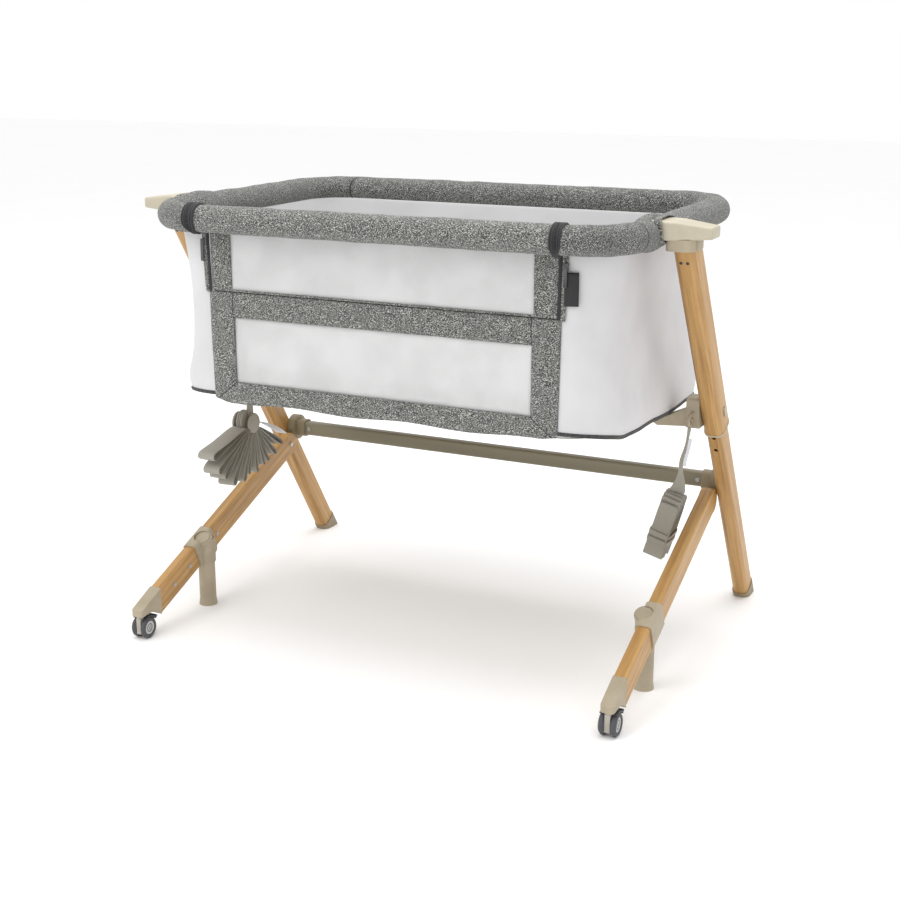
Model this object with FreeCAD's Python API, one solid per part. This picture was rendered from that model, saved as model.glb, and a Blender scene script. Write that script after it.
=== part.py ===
import FreeCAD, Part
import math
import os

# Bedside sleeper crib.  Millimetres, +Z up.  X runs along the crib, -Y is the drop side.
# The origin is on the floor, under the middle of the whole crib.

Vector = FreeCAD.Vector
X_AXIS = Vector(1, 0, 0)
Y_AXIS = Vector(0, 1, 0)
Z_AXIS = Vector(0, 0, 1)
FULL_TURN = 360.0
HALF_TURN = 180.0
QUARTER_TURN = 90.0

# ---- the whole crib ----
WIDTH = 990.0                # over the tips of the top arms
DEPTH = 701.0                # from the front of the caster noses to the back of the rear feet
RIM_Z = 714.0                # middle of the padded rim, from the floor
FIT_GAP = 0.3                # clearance between pieces that fit
SEAM_GAP = 0.6               # between pieces that are zipped or folded side by side
TUBE_WALL = 1.6

# ---- posts and rear legs: where they stand ----
POST_INSET = 48.0            # plane of each post, inboard of the arm's tip
POST_LEAN = 33.1             # towards the drop side, degrees from vertical

# ---- rear legs: the inner tubes ----
INNER_WIDE = 28.0            # along X
INNER_DEEP = 42.0
INNER_ROUND = 11.0
INNER_HIDDEN = 179.0         # the inner tube ends this far short of the outer tube's top
HOLE_PITCH = 29.0
HOLES_BELOW = 2
HOLES_ABOVE = 3
HOLE_DIAMETER = 7.0
FOOT_WALL = 1.8
FOOT_HIGH = 24.0
SOLE_THICK = 4.0

# ---- posts: the outer tubes ----
OUTER_WIDE = 34.0
OUTER_DEEP = 48.0
OUTER_ROUND = 13.0
OUTER_UNDER_RIM = 17.0       # top of the tube, under the rim's middle
OUTER_BELOW_BLOCK = 31.5     # the tube reaches this far below the lower bracket's middle
COLLAR_LIP = 4.0
COLLAR_PROUD = 0.8
LINER_LONG = 32.0
LOCK_RISE = 19.0             # lock hole in use, above the outer tube's lower end
BUTTON_RISE = 34.0
BUTTON_LONG = 19.0
BUTTON_WIDE = 7.0
BUTTON_PROUD = 2.2
BUTTON_THICK = 3.1
BUTTON_MARGIN = 1.5          # slot round the button, filled by a plastic frame
BEZEL_DOWN = 0.6             # that frame's face, under the tube's side

# ---- front legs ----
LEG_WIDE = 22.0
LEG_DEEP = 44.0
LEG_ROUND = 4.5
LEG_NOSE_Z = 53.5            # middle of the leg where the nose begins
LEG_PLUG = 24.0              # solid upper end round the bolt
CROSSING_AHEAD = 46.0        # that bolt, ahead of the crossbar
CROSSING_BELOW = 24.0        # and below it

# ---- hubs and crossbar ----
BAR_Z = 252.0
BAR_BEHIND = 21.5            # behind the post's middle line at that height
BAR_DEEP = 20.0
BAR_HIGH = 26.0
BAR_ROUND = 5.0
HUB_RADIUS = 24.0
HUB_THICK = 14.0
SOCKET_WALL = 3.0
SOCKET_LONG = 22.0
RIVET_RADIUS = 4.0
RIVET_PROUD = 1.6
RIVET_IN = 54.0              # rivet, from the post's plane
BOLT_RADIUS = 5.0
BOLT_PROUD = 2.2
BOLTS_AT = (44.0, 94.0, 186.0)   # small bolts, along the front leg
HEAD_SIDES = 16              # flats round a bolt's or screw's head
HEAD_TAPER = 0.62            # width of its flat face

# ---- caster noses and casters ----
NOSE_LONG = 55.5
NOSE_TOP_Z = 52.0
NOSE_TIP_HIGH = 10.0
NOSE_CORNER_Z = 33.0
NOSE_CORNER_BACK = 3.0
NOSE_NOTCH = 32.5            # length of its flat underside, over the caster
NOSE_RISE = 1.5
NOSE_ROUND = 5.0
NOSE_TONGUE = 22.0
WHEEL_RADIUS = 18.5
WHEEL_THICK = 9.4
WHEEL_DISH = 0.62            # share of the radius
WHEEL_CROWN = 0.3            # share of the thickness
DISH_DEEP = 1.6
WEB_THICK = 8.4
WEB_SHARE = 0.72             # web's radius as a share of the wheel's
CASTER_TRAIL = 8.0
AXLE_RADIUS = 2.5
STEM_RADIUS = 4.0
STEM_IN = 9.0
NECK_RADIUS = 6.5
NECK_HIGH = 4.0
HOOD_THICK = 2.0
HOOD_GAP = 0.8
HOOD_FROM = 62.0             # degrees round the axle, from level front, over the top
HOOD_TO = 143.0
HOOD_TAB = 4.5
TAB_LEAN = 7.0
TAB_ROOT = 16.0

# ---- support feet ----
FOOT_BEHIND = 195.5          # behind the front of the caster noses
FOOT_INBOARD = 8.0           # from the leg's plane
BOSS_RADIUS = 17.0
BOSS_BOTTOM_Z = 82.0
SUPPORT_RADIUS = 14.8
SUPPORT_FLARE = 1.6
SUPPORT_FLARE_HIGH = 12.0
SUPPORT_HIDDEN = 10.0        # length of foot inside the housing
GUIDE_RADIUS = 6.5
GUIDE_END_Z = 22.0
SUPPORT_SOLE = 5.0
SLEEVE_AHEAD = 33.0          # moulding's reach along the leg, from the foot's axis
SLEEVE_BEHIND = 22.0
PRESS_TILT = 30.0            # axis of the round push button, degrees from vertical
PRESS_AHEAD = 9.0            # its face, ahead of the foot's axis
PRESS_RISE = 17.0            # and above the leg's axis there
PRESS_RADIUS = 13.8
PRESS_PROUD = 1.4
PRESS_DEEP = 6.0
PRESS_RING = 2.8
RING_LONG = 33.0
PRESS_TRAVEL = 3.0
PRESS_SOFT = 0.6             # edge radius as a share of how far it stands proud
FOOT_TRAVEL = 12.0           # support foot, upwards
SLEEVE_WALL = 2.6
SOCKET_DEEP = 7.0            # leg tubes reach this far into the moulding
TONGUE_LONG = 24.0           # and its tongues this far into them

# ---- top arms ----
ARM_AHEAD = 9.3              # of the post's middle line at the rim's height
ARM_INSIDE_RIM = 13.0        # its root, inboard of the rim's middle line
ARM_WIDE = 58.0
ARM_TIP_WIDE = 40.0
ARM_ROOT_TOP = 22.0          # heights from the rim's middle
ARM_ROOT_BOTTOM = -7.0
ARM_TIP_TOP = 14.0
ARM_TIP_BOTTOM = -3.0
ARM_ROUND = 4.0
ARM_CROWN = 3.0
HEAD_WIDE = 42.0
HEAD_DEEP = 68.0
HEAD_AHEAD = 13.6
HEAD_ROUND = 12.0
HEAD_SKIRT = 5.0
TAB_WIDE = 16.0
TAB_DEEP = 27.0
TAB_PROUD = 2.5
SCREW_RADIUS = 2.6
SCREW_PROUD = 1.0
SCREW_DOWN = 15.0            # under the post's upper end
SCREW_APART = 10.0

# ---- padded rim and its tube ----
RIM_INSET = 47.0             # middle line of its ends, inboard of the posts' plane
RIM_DEEP = 546.0             # between its front and back middle lines
RIM_BEHIND_ARM = 139.0       # middle of the rim, behind the arms
RIM_CORNER = 90.0
RIM_RADIUS = 22.5
RAIL_RADIUS = 22.0
RIM_TUBE_RADIUS = 9.5
RIM_TUBE_WALL = 1.4
BUMP_RADIUS = 28.0
BUMP_HALF = 46.0
BUMP_TUCK = 0.8
BAND_WIDE = 28.0
BAND_THICK = 1.0

# ---- front panel ----
PANEL_INSET = 3.0            # its upper corners, inboard of the rail's ends
PANEL_TAPER = 5.0            # narrower at the bottom, each side
PANEL_TOP_DOWN = 7.0         # heights below the rim's middle
BAND_DOWN = 118.0
BAND_HIGH = 41.0
PANEL_BOTTOM_DOWN = 300.0
HEM_HIGH = 35.0
STILE_WIDE = 45.0
PANEL_CORNER = 26.0
PANEL_THICK = 3.0
MESH_THICK = 1.2
SEAM_HIGH = 4.0
TAPE_WIDE = 5.0

# ---- cloth body ----
CLOTH = 2.0
CLOTH_TOP_INSET = 17.0
CLOTH_BEHIND_STILE = 9.0     # front edge, sewn behind the panel's stile
CLOTH_IN_TOP = 18.0          # its ends, inboard of the rim's middle line
CLOTH_IN_BOTTOM = 37.0
CLOTH_BACK_TOP = 22.0        # its back, ahead of the rim's back middle line
CLOTH_BACK_BOTTOM = 32.0
CLOTH_CORNER_TOP = 66.0
CLOTH_CORNER_BOTTOM = 48.0
CLOTH_BOTTOM_DOWN = 316.0    # below the rim's middle
HEM_FRONT_RISE = 35.0        # the hem rises towards the front panel
HEM_TURN_RISE = 14.0
HEM_TURN_BACK = 84.0         # behind the rim's front middle line
HEM_LEVEL_BACK = 384.0

# ---- bed base ----
BASE_DOWN = 292.0            # below the rim's middle
BASE_TUBE = 9.0
BASE_WALL = 1.4
BASE_IN = 20.0               # inboard of the cloth's lower ends
BASE_FROM_FRONT = 48.0
BASE_FROM_BACK = 47.0
BASE_CORNER = 55.0
BOARD_THICK = 5.0
MATTRESS_THICK = 34.0
MATTRESS_SPREAD = 3.0        # pad's widest, past the board
MATTRESS_CORNER = 60.0
MATTRESS_EDGE = 1.0          # drawn in at its foot and shoulder
MATTRESS_CROWN = 6.0
MATTRESS_CROWN_IN = 26.0

# ---- lower brackets ----
BLOCK_DOWN = 18.0            # middle of the block, below the base tube
BLOCK_AHEAD = 8.8            # of the post's middle line
BLOCK_THICK = 22.0
BLOCK_DEEP = 40.0
BLOCK_HIGH = 50.0
BLOCK_ROUND = 5.0
REACH_DEEP = 32.0
REACH_PAST_TUBE = 20.0       # end of the reach, inboard of the base tube
REACH_ROOT_UP = 6.0          # where the reach leaves the block, from the block's middle
REACH_ROOT_DOWN = 23.0
REACH_DIP_DOWN = 3.5         # it dips this far under the cloth's lower edge
REACH_DIP_OUT = 12.0         # the dip's ends, from that edge
REACH_DIP_IN = 4.0
REACH_UNDER_DIP = 17.0       # thickness under the dip
REACH_STEP = 4.0
REACH_THIN = 14.0            # thickness under the base tube

# ---- zip sliders ----
SLIDER_DOWN = 35.0           # top of the slider, below the rim's middle
SLIDER_WIDE = 8.0
SLIDER_HIGH = 11.0
SLIDER_THICK = 4.0
SLIDER_SOFT = 1.2
PULL_LONG = 24.0
PULL_WIDE = 5.0
PULL_THICK = 1.6

# ---- straps ----
STRAP_WIDE = 34.0
STRAP_THICK = 1.6
FAN_LOOPS = 11
FAN_FROM = 192.0             # degrees from +Y towards +Z
FAN_TO = 330.0
FAN_LONG = 124.0             # first loop, towards the front
FAN_SHORT = 83.0             # shortest, in the middle
FAN_BACK = 102.0             # last loop
FAN_VALLEY = 0.55            # where the shortest is, from front to back
FAN_RIPPLE = 4.0
FAN_WAVE = 2.4
FAN_CORE = 18.0
FAN_OUTBOARD = 14.0          # of the base tube's end
FAN_AHEAD = 96.0             # of the crib's middle
FAN_DOWN = 90.0              # below the base tube
TIE_RADIUS = 9.0
HANGER_WIDE = 9.0
STACK_LOOPS = 7
STACK_LONG = 112.0
STACK_INBOARD = 59.0         # top of the folded hank, from the posts' plane
STACK_BEHIND = 12.0          # the block's middle
STACK_DOWN = 147.0           # below the block's middle
STACK_LEAN = 16.0            # inboard, off the front leg
STACK_PITCH = 3.4
STACK_ARCH = 14.0
STACK_RAGGED = 4.0
STACK_WAVE = 1.9
KEEPER_HIGH = 12.0
KEEPER_AT = 0.68
NECK_FLARE = 0.32
NECK_THICK = 4.0
NECK_WIDE = 7.0
HOOK_WIRE = 2.5
HOOK_RADIUS = 9.0
HOOK_DROP = 8.0

# ---- places that follow from the sizes above ----
LEAN = math.radians(POST_LEAN)
POST_X = WIDTH / 2 - POST_INSET
ARM_TIP_X = WIDTH / 2
REAR_FOOT_Y = DEPTH / 2 - (INNER_DEEP / 2 + FOOT_WALL) / math.cos(LEAN)


def post_y(z):
    """Where the post's middle line is at a height."""
    return REAR_FOOT_Y - z * math.tan(LEAN)


RIM_END_X = POST_X - RIM_INSET
ARM_ROOT_X = RIM_END_X - ARM_INSIDE_RIM
ARM_Y = post_y(RIM_Z) - ARM_AHEAD
RIM_MIDDLE_Y = ARM_Y + RIM_BEHIND_ARM
RIM_FRONT_Y = RIM_MIDDLE_Y - RIM_DEEP / 2
RIM_BACK_Y = RIM_MIDDLE_Y + RIM_DEEP / 2
RAIL_END_X = RIM_END_X - RIM_CORNER

POST_TOP_Z = RIM_Z - OUTER_UNDER_RIM
POST_END = POST_TOP_Z / math.cos(LEAN)
HEAD_Y = post_y(POST_TOP_Z) - HEAD_AHEAD
INNER_TOP = POST_END - INNER_HIDDEN

PANEL_Y = RIM_FRONT_Y + RAIL_RADIUS + FIT_GAP + PANEL_THICK / 2
PANEL_HALF_TOP = RAIL_END_X - PANEL_INSET
PANEL_HALF_BOTTOM = PANEL_HALF_TOP - PANEL_TAPER
PANEL_TOP_Z = RIM_Z - PANEL_TOP_DOWN
BAND_TOP_Z = RIM_Z - BAND_DOWN
BAND_BOTTOM_Z = BAND_TOP_Z - BAND_HIGH
PANEL_BOTTOM_Z = RIM_Z - PANEL_BOTTOM_DOWN
HEM_TOP_Z = PANEL_BOTTOM_Z + HEM_HIGH
SLIDER_TOP_Z = RIM_Z - SLIDER_DOWN

CLOTH_FRONT_Y = PANEL_Y + PANEL_THICK / 2 + FIT_GAP
CLOTH_FRONT_X = PANEL_HALF_BOTTOM - CLOTH_BEHIND_STILE
CLOTH_TOP_Z = RIM_Z - math.sqrt(RIM_RADIUS ** 2 - CLOTH_TOP_INSET ** 2) - 2 * FIT_GAP
CLOTH_BOTTOM_Z = RIM_Z - CLOTH_BOTTOM_DOWN
CLOTH_END_TOP_X = RIM_END_X - CLOTH_IN_TOP
CLOTH_END_BOTTOM_X = RIM_END_X - CLOTH_IN_BOTTOM
CLOTH_BACK_TOP_Y = RIM_BACK_Y - CLOTH_BACK_TOP
CLOTH_BACK_BOTTOM_Y = RIM_BACK_Y - CLOTH_BACK_BOTTOM

BASE_Z = RIM_Z - BASE_DOWN
BASE_HALF_X = CLOTH_END_BOTTOM_X - BASE_IN
BASE_FRONT_Y = RIM_FRONT_Y + BASE_FROM_FRONT
BASE_BACK_Y = RIM_BACK_Y - BASE_FROM_BACK
BOARD_Z = BASE_Z + BASE_TUBE + FIT_GAP
MATTRESS_Z = BOARD_Z + BOARD_THICK + FIT_GAP

BLOCK_Z = BASE_Z - BLOCK_DOWN
BLOCK_Y = post_y(BLOCK_Z) - BLOCK_AHEAD
POST_BOTTOM = BLOCK_Z / math.cos(LEAN) - OUTER_BELOW_BLOCK
LOCK_AT = POST_BOTTOM + LOCK_RISE
BUTTON_AT = POST_BOTTOM + BUTTON_RISE
BUTTON_FACE_X = POST_X + OUTER_WIDE / 2

BAR_Y = post_y(BAR_Z) + BAR_BEHIND
LEG_X = POST_X - (INNER_WIDE + LEG_WIDE) / 2
CROSSING_Y = BAR_Y - CROSSING_AHEAD
CROSSING_Z = BAR_Z - CROSSING_BELOW
NOSE_FRONT_Y = -DEPTH / 2
NOSE_START_Y = NOSE_FRONT_Y + NOSE_LONG
NOSE_NOTCH_Y = NOSE_FRONT_Y + NOSE_NOTCH
SLOPE = math.atan2(CROSSING_Z - LEG_NOSE_Z, CROSSING_Y - NOSE_START_Y)
LEG_SLOPE = math.degrees(SLOPE)
WHEEL_Y = NOSE_FRONT_Y + WHEEL_RADIUS
STEM_Y = WHEEL_Y - CASTER_TRAIL
NECK_TOP_Z = NOSE_TOP_Z - NOSE_TIP_HIGH - FIT_GAP

FOOT_X = LEG_X - FOOT_INBOARD
FOOT_Y = NOSE_FRONT_Y + FOOT_BEHIND
FOOT_ALONG = (FOOT_Y - NOSE_START_Y) / math.cos(SLOPE)
SLEEVE_FROM = FOOT_ALONG - SLEEVE_AHEAD
SLEEVE_TO = FOOT_ALONG + SLEEVE_BEHIND
PRESS_Y = FOOT_Y - PRESS_AHEAD
PRESS_Z = LEG_NOSE_Z + (FOOT_Y - NOSE_START_Y) * math.tan(SLOPE) + PRESS_RISE
SUPPORT_TOP_Z = BOSS_BOTTOM_Z + SUPPORT_HIDDEN
BORE_TOP_Z = SUPPORT_TOP_Z + FOOT_TRAVEL + FIT_GAP

FAN_X = -BASE_HALF_X - FAN_OUTBOARD
FAN_Y = -FAN_AHEAD
FAN_Z = BASE_Z - FAN_DOWN
STACK_X = POST_X - STACK_INBOARD
STACK_Y = BLOCK_Y + STACK_BEHIND
STACK_Z = BLOCK_Z - STACK_DOWN


# ---------------------------------------------------------------- helpers
def block(x0, x1, y0, y1, z0, z1):
    """A box between two corners."""
    corner = Vector(min(x0, x1), min(y0, y1), min(z0, z1))
    return Part.makeBox(abs(x1 - x0), abs(y1 - y0), abs(z1 - z0), corner)


def mirrored(shape):
    """The same piece on the other side of the crib."""
    return shape.mirror(Vector(0, 0, 0), X_AXIS)


def rounded_outline(wide, deep, radius):
    """Closed wire: a rounded rectangle about the origin, in the XY plane."""
    a = wide / 2
    b = deep / 2
    r = min(radius, a - FIT_GAP / 4, b - FIT_GAP / 4)
    bow = r * (1 - math.sqrt(0.5))
    corners = []
    for sx, sy in ((1, 1), (-1, 1), (-1, -1), (1, -1)):
        flat_x = Vector(sx * (a - r), sy * b, 0)
        flat_y = Vector(sx * a, sy * (b - r), 0)
        middle = Vector(sx * (a - bow), sy * (b - bow), 0)
        ends = (flat_y, flat_x) if sx * sy > 0 else (flat_x, flat_y)
        corners.append((ends[0], middle, ends[1]))
    edges = []
    for index, corner in enumerate(corners):
        edges.append(Part.Arc(*corner).toShape())
        following = corners[(index + 1) % len(corners)][0]
        edges.append(Part.LineSegment(corner[2], following).toShape())
    return Part.Wire(edges)


def bar(wide, deep, radius, length):
    """Rounded bar standing on the origin along +Z."""
    return Part.Face(rounded_outline(wide, deep, radius)).extrude(Z_AXIS * length)


def tube(wide, deep, radius, wall, length, plug=0.0):
    """Hollow rounded bar; the top may stay solid over a plug length."""
    outside = bar(wide, deep, radius, length)
    inside = bar(wide - 2 * wall, deep - 2 * wall, radius - wall, length - plug)
    return outside.cut(inside)


def on_post(shape, along):
    """Put a shape made along +Z on the right post's axis, so far from the floor."""
    placed = shape.copy()
    placed.translate(Vector(0, 0, along))
    placed.rotate(Vector(0, 0, 0), X_AXIS, POST_LEAN)
    placed.translate(Vector(POST_X, REAR_FOOT_Y, 0))
    return placed


def post_point(along, x=POST_X):
    """A point on the post's axis."""
    return Vector(x, REAR_FOOT_Y - along * math.sin(LEAN), along * math.cos(LEAN))


def on_leg(shape, along):
    """Put a shape made along +Z on the right front leg's axis."""
    placed = shape.copy()
    placed.translate(Vector(0, 0, along))
    placed.rotate(Vector(0, 0, 0), X_AXIS, LEG_SLOPE - QUARTER_TURN)
    placed.translate(Vector(LEG_X, NOSE_START_Y, LEG_NOSE_Z))
    return placed


def leg_along(y):
    """Distance along the front leg at which its axis has this y."""
    return (y - NOSE_START_Y) / math.cos(SLOPE)


def leg_point(along, x):
    """A point on the front leg's axis, so far from its nose."""
    return Vector(x, NOSE_START_Y + along * math.cos(SLOPE), LEG_NOSE_Z + along * math.sin(SLOPE))


def cylinder_x(radius, x0, x1, y, z):
    return Part.makeCylinder(radius, abs(x1 - x0), Vector(min(x0, x1), y, z), X_AXIS)


def prism_x(points, x0, x1):
    """Polygon of (y, z) points, extruded along X."""
    corners = [Vector(x0, y, z) for y, z in points]
    return Part.Face(Part.makePolygon(corners + corners[:1])).extrude(X_AXIS * (x1 - x0))


def prism_y(points, y0, y1):
    """Polygon of (x, z) points, extruded along Y."""
    corners = [Vector(x, y0, z) for x, z in points]
    return Part.Face(Part.makePolygon(corners + corners[:1])).extrude(Y_AXIS * (y1 - y0))


def softened(shape, radius, chosen=None):
    """Fillet every edge, or the edges that a test picks."""
    edges = [edge for edge in shape.Edges if chosen is None or chosen(edge)]
    return shape.makeFillet(radius, edges)


def along_x(edge):
    span = edge.BoundBox
    return span.YLength < FIT_GAP and span.ZLength < FIT_GAP


def pipe(path, radius, wall=0.0):
    """Round rod or tube along a wire whose runs and arcs are tangent."""
    start = path.Edges[0]
    heading = start.tangentAt(start.FirstParameter)
    ring = Part.Wire(Part.makeCircle(radius, start.valueAt(start.FirstParameter), heading))
    solid = path.makePipeShell([ring], True, False)
    if wall:
        bore = Part.Wire(Part.makeCircle(radius - wall, start.valueAt(start.FirstParameter), heading))
        solid = solid.cut(path.makePipeShell([bore], True, False))
    return solid


def corner_arc(centre, radius, start, end):
    """Arc in a level plane, by angles in degrees."""
    def at(angle):
        turn = math.radians(angle)
        return centre + Vector(radius * math.cos(turn), radius * math.sin(turn), 0)
    return Part.Arc(at(start), at((start + end) / 2), at(end)).toShape()


def joined(edges):
    """Wire through edges, with straight runs where their ends are apart."""
    chain = [edges[0]]
    for edge in edges[1:]:
        last = chain[-1].valueAt(chain[-1].LastParameter)
        first = edge.valueAt(edge.FirstParameter)
        if last.distanceToPoint(first) > FIT_GAP / 100:
            chain.append(Part.LineSegment(last, first).toShape())
        chain.append(edge)
    return Part.Wire(chain)


def export(name, shape):
    """Write one node's file."""
    solids = shape.Solids
    body = solids[0] if len(solids) == 1 else Part.makeCompound(solids)
    body.exportStep(os.path.join("parts", name + ".step"))


def export_pair(name, shape):
    export(name + "_right", shape)
    export(name + "_left", mirrored(shape))


# ---------------------------------------------------------------- stand
def rear_leg():
    """Inner tube with its row of height holes, cut level just above the sole."""
    body = on_post(tube(INNER_WIDE, INNER_DEEP, INNER_ROUND, TUBE_WALL, INNER_TOP + FOOT_HIGH), -FOOT_HIGH)
    reach = 2 * DEPTH
    body = body.cut(block(0, reach, -reach, reach, -reach, SOLE_THICK))
    for step in range(-HOLES_BELOW, HOLES_ABOVE + 1):
        hole = Part.makeCylinder(HOLE_DIAMETER / 2, INNER_DEEP, Vector(0, 0, 0), Y_AXIS * -1)
        body = body.cut(on_post(hole, LOCK_AT + step * HOLE_PITCH))
    return body


def rear_foot(leg):
    """Plastic cap with a level sole round the end of the rear leg."""
    wide = INNER_WIDE + 2 * FOOT_WALL
    deep = INNER_DEEP + 2 * FOOT_WALL
    cap = on_post(bar(wide, deep, INNER_ROUND + FOOT_WALL, 2 * FOOT_HIGH), -FOOT_HIGH)
    room = on_post(bar(INNER_WIDE + FIT_GAP, INNER_DEEP + FIT_GAP, INNER_ROUND, 3 * FOOT_HIGH), -FOOT_HIGH)
    reach = 2 * DEPTH
    below_tube = block(0, reach, -reach, reach, -reach, SOLE_THICK)
    cap = cap.cut(room.cut(below_tube))
    return cap.cut(block(0, reach, -reach, reach, -reach, 0))


def leg_tube(start, end, plug=0.0):
    """Length of front leg tube between two distances along the leg."""
    return on_leg(tube(LEG_WIDE, LEG_DEEP, LEG_ROUND, TUBE_WALL, end - start, plug), start)


def front_leg_lower():
    """Tube from the caster's nose to the moulding, cut plumb at the nose."""
    body = leg_tube(-LEG_DEEP, SLEEVE_FROM + SOCKET_DEEP)
    return body.cut(block(0, DEPTH, -DEPTH, NOSE_START_Y, -DEPTH, DEPTH))


def front_leg_upper():
    """Tube from the moulding to the rear leg, with a full-round upper end."""
    half = LEG_DEEP / 2
    end = leg_along(CROSSING_Y)
    body = leg_tube(SLEEVE_TO - SOCKET_DEEP, end, LEG_PLUG)
    centre = leg_point(end, LEG_X)
    round_end = cylinder_x(half, LEG_X - LEG_WIDE / 2, LEG_X + LEG_WIDE / 2, centre.y, centre.z)
    rim = [edge for edge in round_end.Edges if edge.BoundBox.XLength < FIT_GAP]
    return body.fuse(round_end.makeFillet(LEG_ROUND / 2, rim)).removeSplitter()


def hub():
    """Round plastic flange on the rear leg that holds the crossbar's end."""
    inner_face = POST_X - INNER_WIDE / 2
    flange = cylinder_x(HUB_RADIUS, inner_face - HUB_THICK, inner_face, BAR_Y, BAR_Z)
    socket = bar(BAR_DEEP + 2 * SOCKET_WALL, BAR_HIGH + 2 * SOCKET_WALL, BAR_ROUND + SOCKET_WALL, SOCKET_LONG)
    body = flange.fuse(across(socket, inner_face - HUB_THICK - SOCKET_LONG + SOCKET_WALL))
    bore = bar(BAR_DEEP + FIT_GAP, BAR_HIGH + FIT_GAP, BAR_ROUND, SOCKET_LONG + HUB_THICK)
    body = body.cut(across(bore, inner_face - HUB_THICK / 2 - SOCKET_LONG - HUB_THICK))
    clear = LEG_WIDE + 2 * FIT_GAP
    end = leg_along(CROSSING_Y)
    leg_room = on_leg(bar(clear, LEG_DEEP + 2 * FIT_GAP, LEG_ROUND, end), 0)
    centre = leg_point(end, LEG_X)
    tip_room = cylinder_x(LEG_DEEP / 2 + FIT_GAP, LEG_X - clear / 2, LEG_X + clear / 2, centre.y, centre.z)
    return body.cut(leg_room).cut(tip_room)


def across(shape, x):
    """Turn a bar made along +Z to run along +X at the crossbar's height."""
    placed = shape.copy()
    placed.rotate(Vector(0, 0, 0), Y_AXIS, QUARTER_TURN)
    placed.rotate(Vector(0, 0, 0), X_AXIS, QUARTER_TURN)
    placed.translate(Vector(x, BAR_Y, BAR_Z))
    return placed


def crossbar():
    half = POST_X - INNER_WIDE / 2 - HUB_THICK / 2 - FIT_GAP
    body = tube(BAR_DEEP, BAR_HIGH, BAR_ROUND, TUBE_WALL, 2 * half)
    return across(body, -half)


def fastener(radius, proud, place, heading):
    """Low head of a rivet, bolt or screw: a straight edge under a tapered face, with small flats."""
    def ring(size, height):
        spots = []
        for side in range(HEAD_SIDES):
            turn = math.radians(FULL_TURN * side / HEAD_SIDES)
            spots.append(Vector(size * math.cos(turn), size * math.sin(turn), height))
        return Part.makePolygon(spots + spots[:1])

    edge = Part.Face(ring(radius, 0)).extrude(Z_AXIS * (proud / 2))
    face = Part.makeLoft([ring(radius, proud / 2), ring(radius * HEAD_TAPER, proud)], True, True)
    head = edge.fuse(face)
    head.Placement = FreeCAD.Placement(place, FreeCAD.Rotation(Z_AXIS, heading))
    return head


def frame_bolts():
    """Rivet heads on the crossbar, and bolt heads on the inner faces of the front legs."""
    heads = []
    rivet_x = POST_X - RIVET_IN
    rivet = Vector(rivet_x, BAR_Y - BAR_DEEP / 2, BAR_Z)
    heads.append(fastener(RIVET_RADIUS, RIVET_PROUD, rivet, Y_AXIS * -1))
    crossing = leg_point(leg_along(CROSSING_Y), 0)
    inner = Vector(LEG_X - LEG_WIDE / 2, crossing.y, crossing.z)
    heads.append(fastener(BOLT_RADIUS, BOLT_PROUD, inner, X_AXIS * -1))
    for along in BOLTS_AT:
        spot = leg_point(along, LEG_X - LEG_WIDE / 2)
        heads.append(fastener(RIVET_RADIUS, RIVET_PROUD, spot, X_AXIS * -1))
    return heads


# ---------------------------------------------------------------- casters
def caster_nose():
    """Plastic end of the front leg: a wedge that carries the caster's stem."""
    half = LEG_DEEP / 2 / math.cos(SLOPE)
    profile = [
        (NOSE_START_Y, LEG_NOSE_Z + half),
        (NOSE_FRONT_Y, NOSE_TOP_Z),
        (NOSE_FRONT_Y, NOSE_TOP_Z - NOSE_TIP_HIGH),
        (NOSE_NOTCH_Y, NOSE_TOP_Z - NOSE_TIP_HIGH + NOSE_RISE),
        (NOSE_START_Y - NOSE_CORNER_BACK, NOSE_CORNER_Z),
        (NOSE_START_Y, LEG_NOSE_Z - half),
    ]
    wedge = prism_x(profile, LEG_X - LEG_WIDE / 2, LEG_X + LEG_WIDE / 2)

    def front_upright(edge):
        middle = edge.CenterOfMass
        return middle.y < NOSE_FRONT_Y + FIT_GAP and edge.BoundBox.XLength < FIT_GAP

    wedge = softened(wedge, NOSE_ROUND, front_upright)
    tongue = bar(LEG_WIDE - 2 * TUBE_WALL - FIT_GAP, LEG_DEEP - 2 * TUBE_WALL - FIT_GAP,
                 LEG_ROUND - TUBE_WALL, NOSE_TONGUE + LEG_DEEP)
    tongue = on_leg(tongue, -LEG_DEEP)
    tongue = tongue.common(block(0, DEPTH, NOSE_START_Y, DEPTH, 0, DEPTH))
    stem_hole = Part.makeCylinder(STEM_RADIUS + FIT_GAP, STEM_IN, Vector(LEG_X, STEM_Y, NECK_TOP_Z - FIT_GAP))
    return wedge.fuse(tongue).cut(stem_hole)


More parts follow.
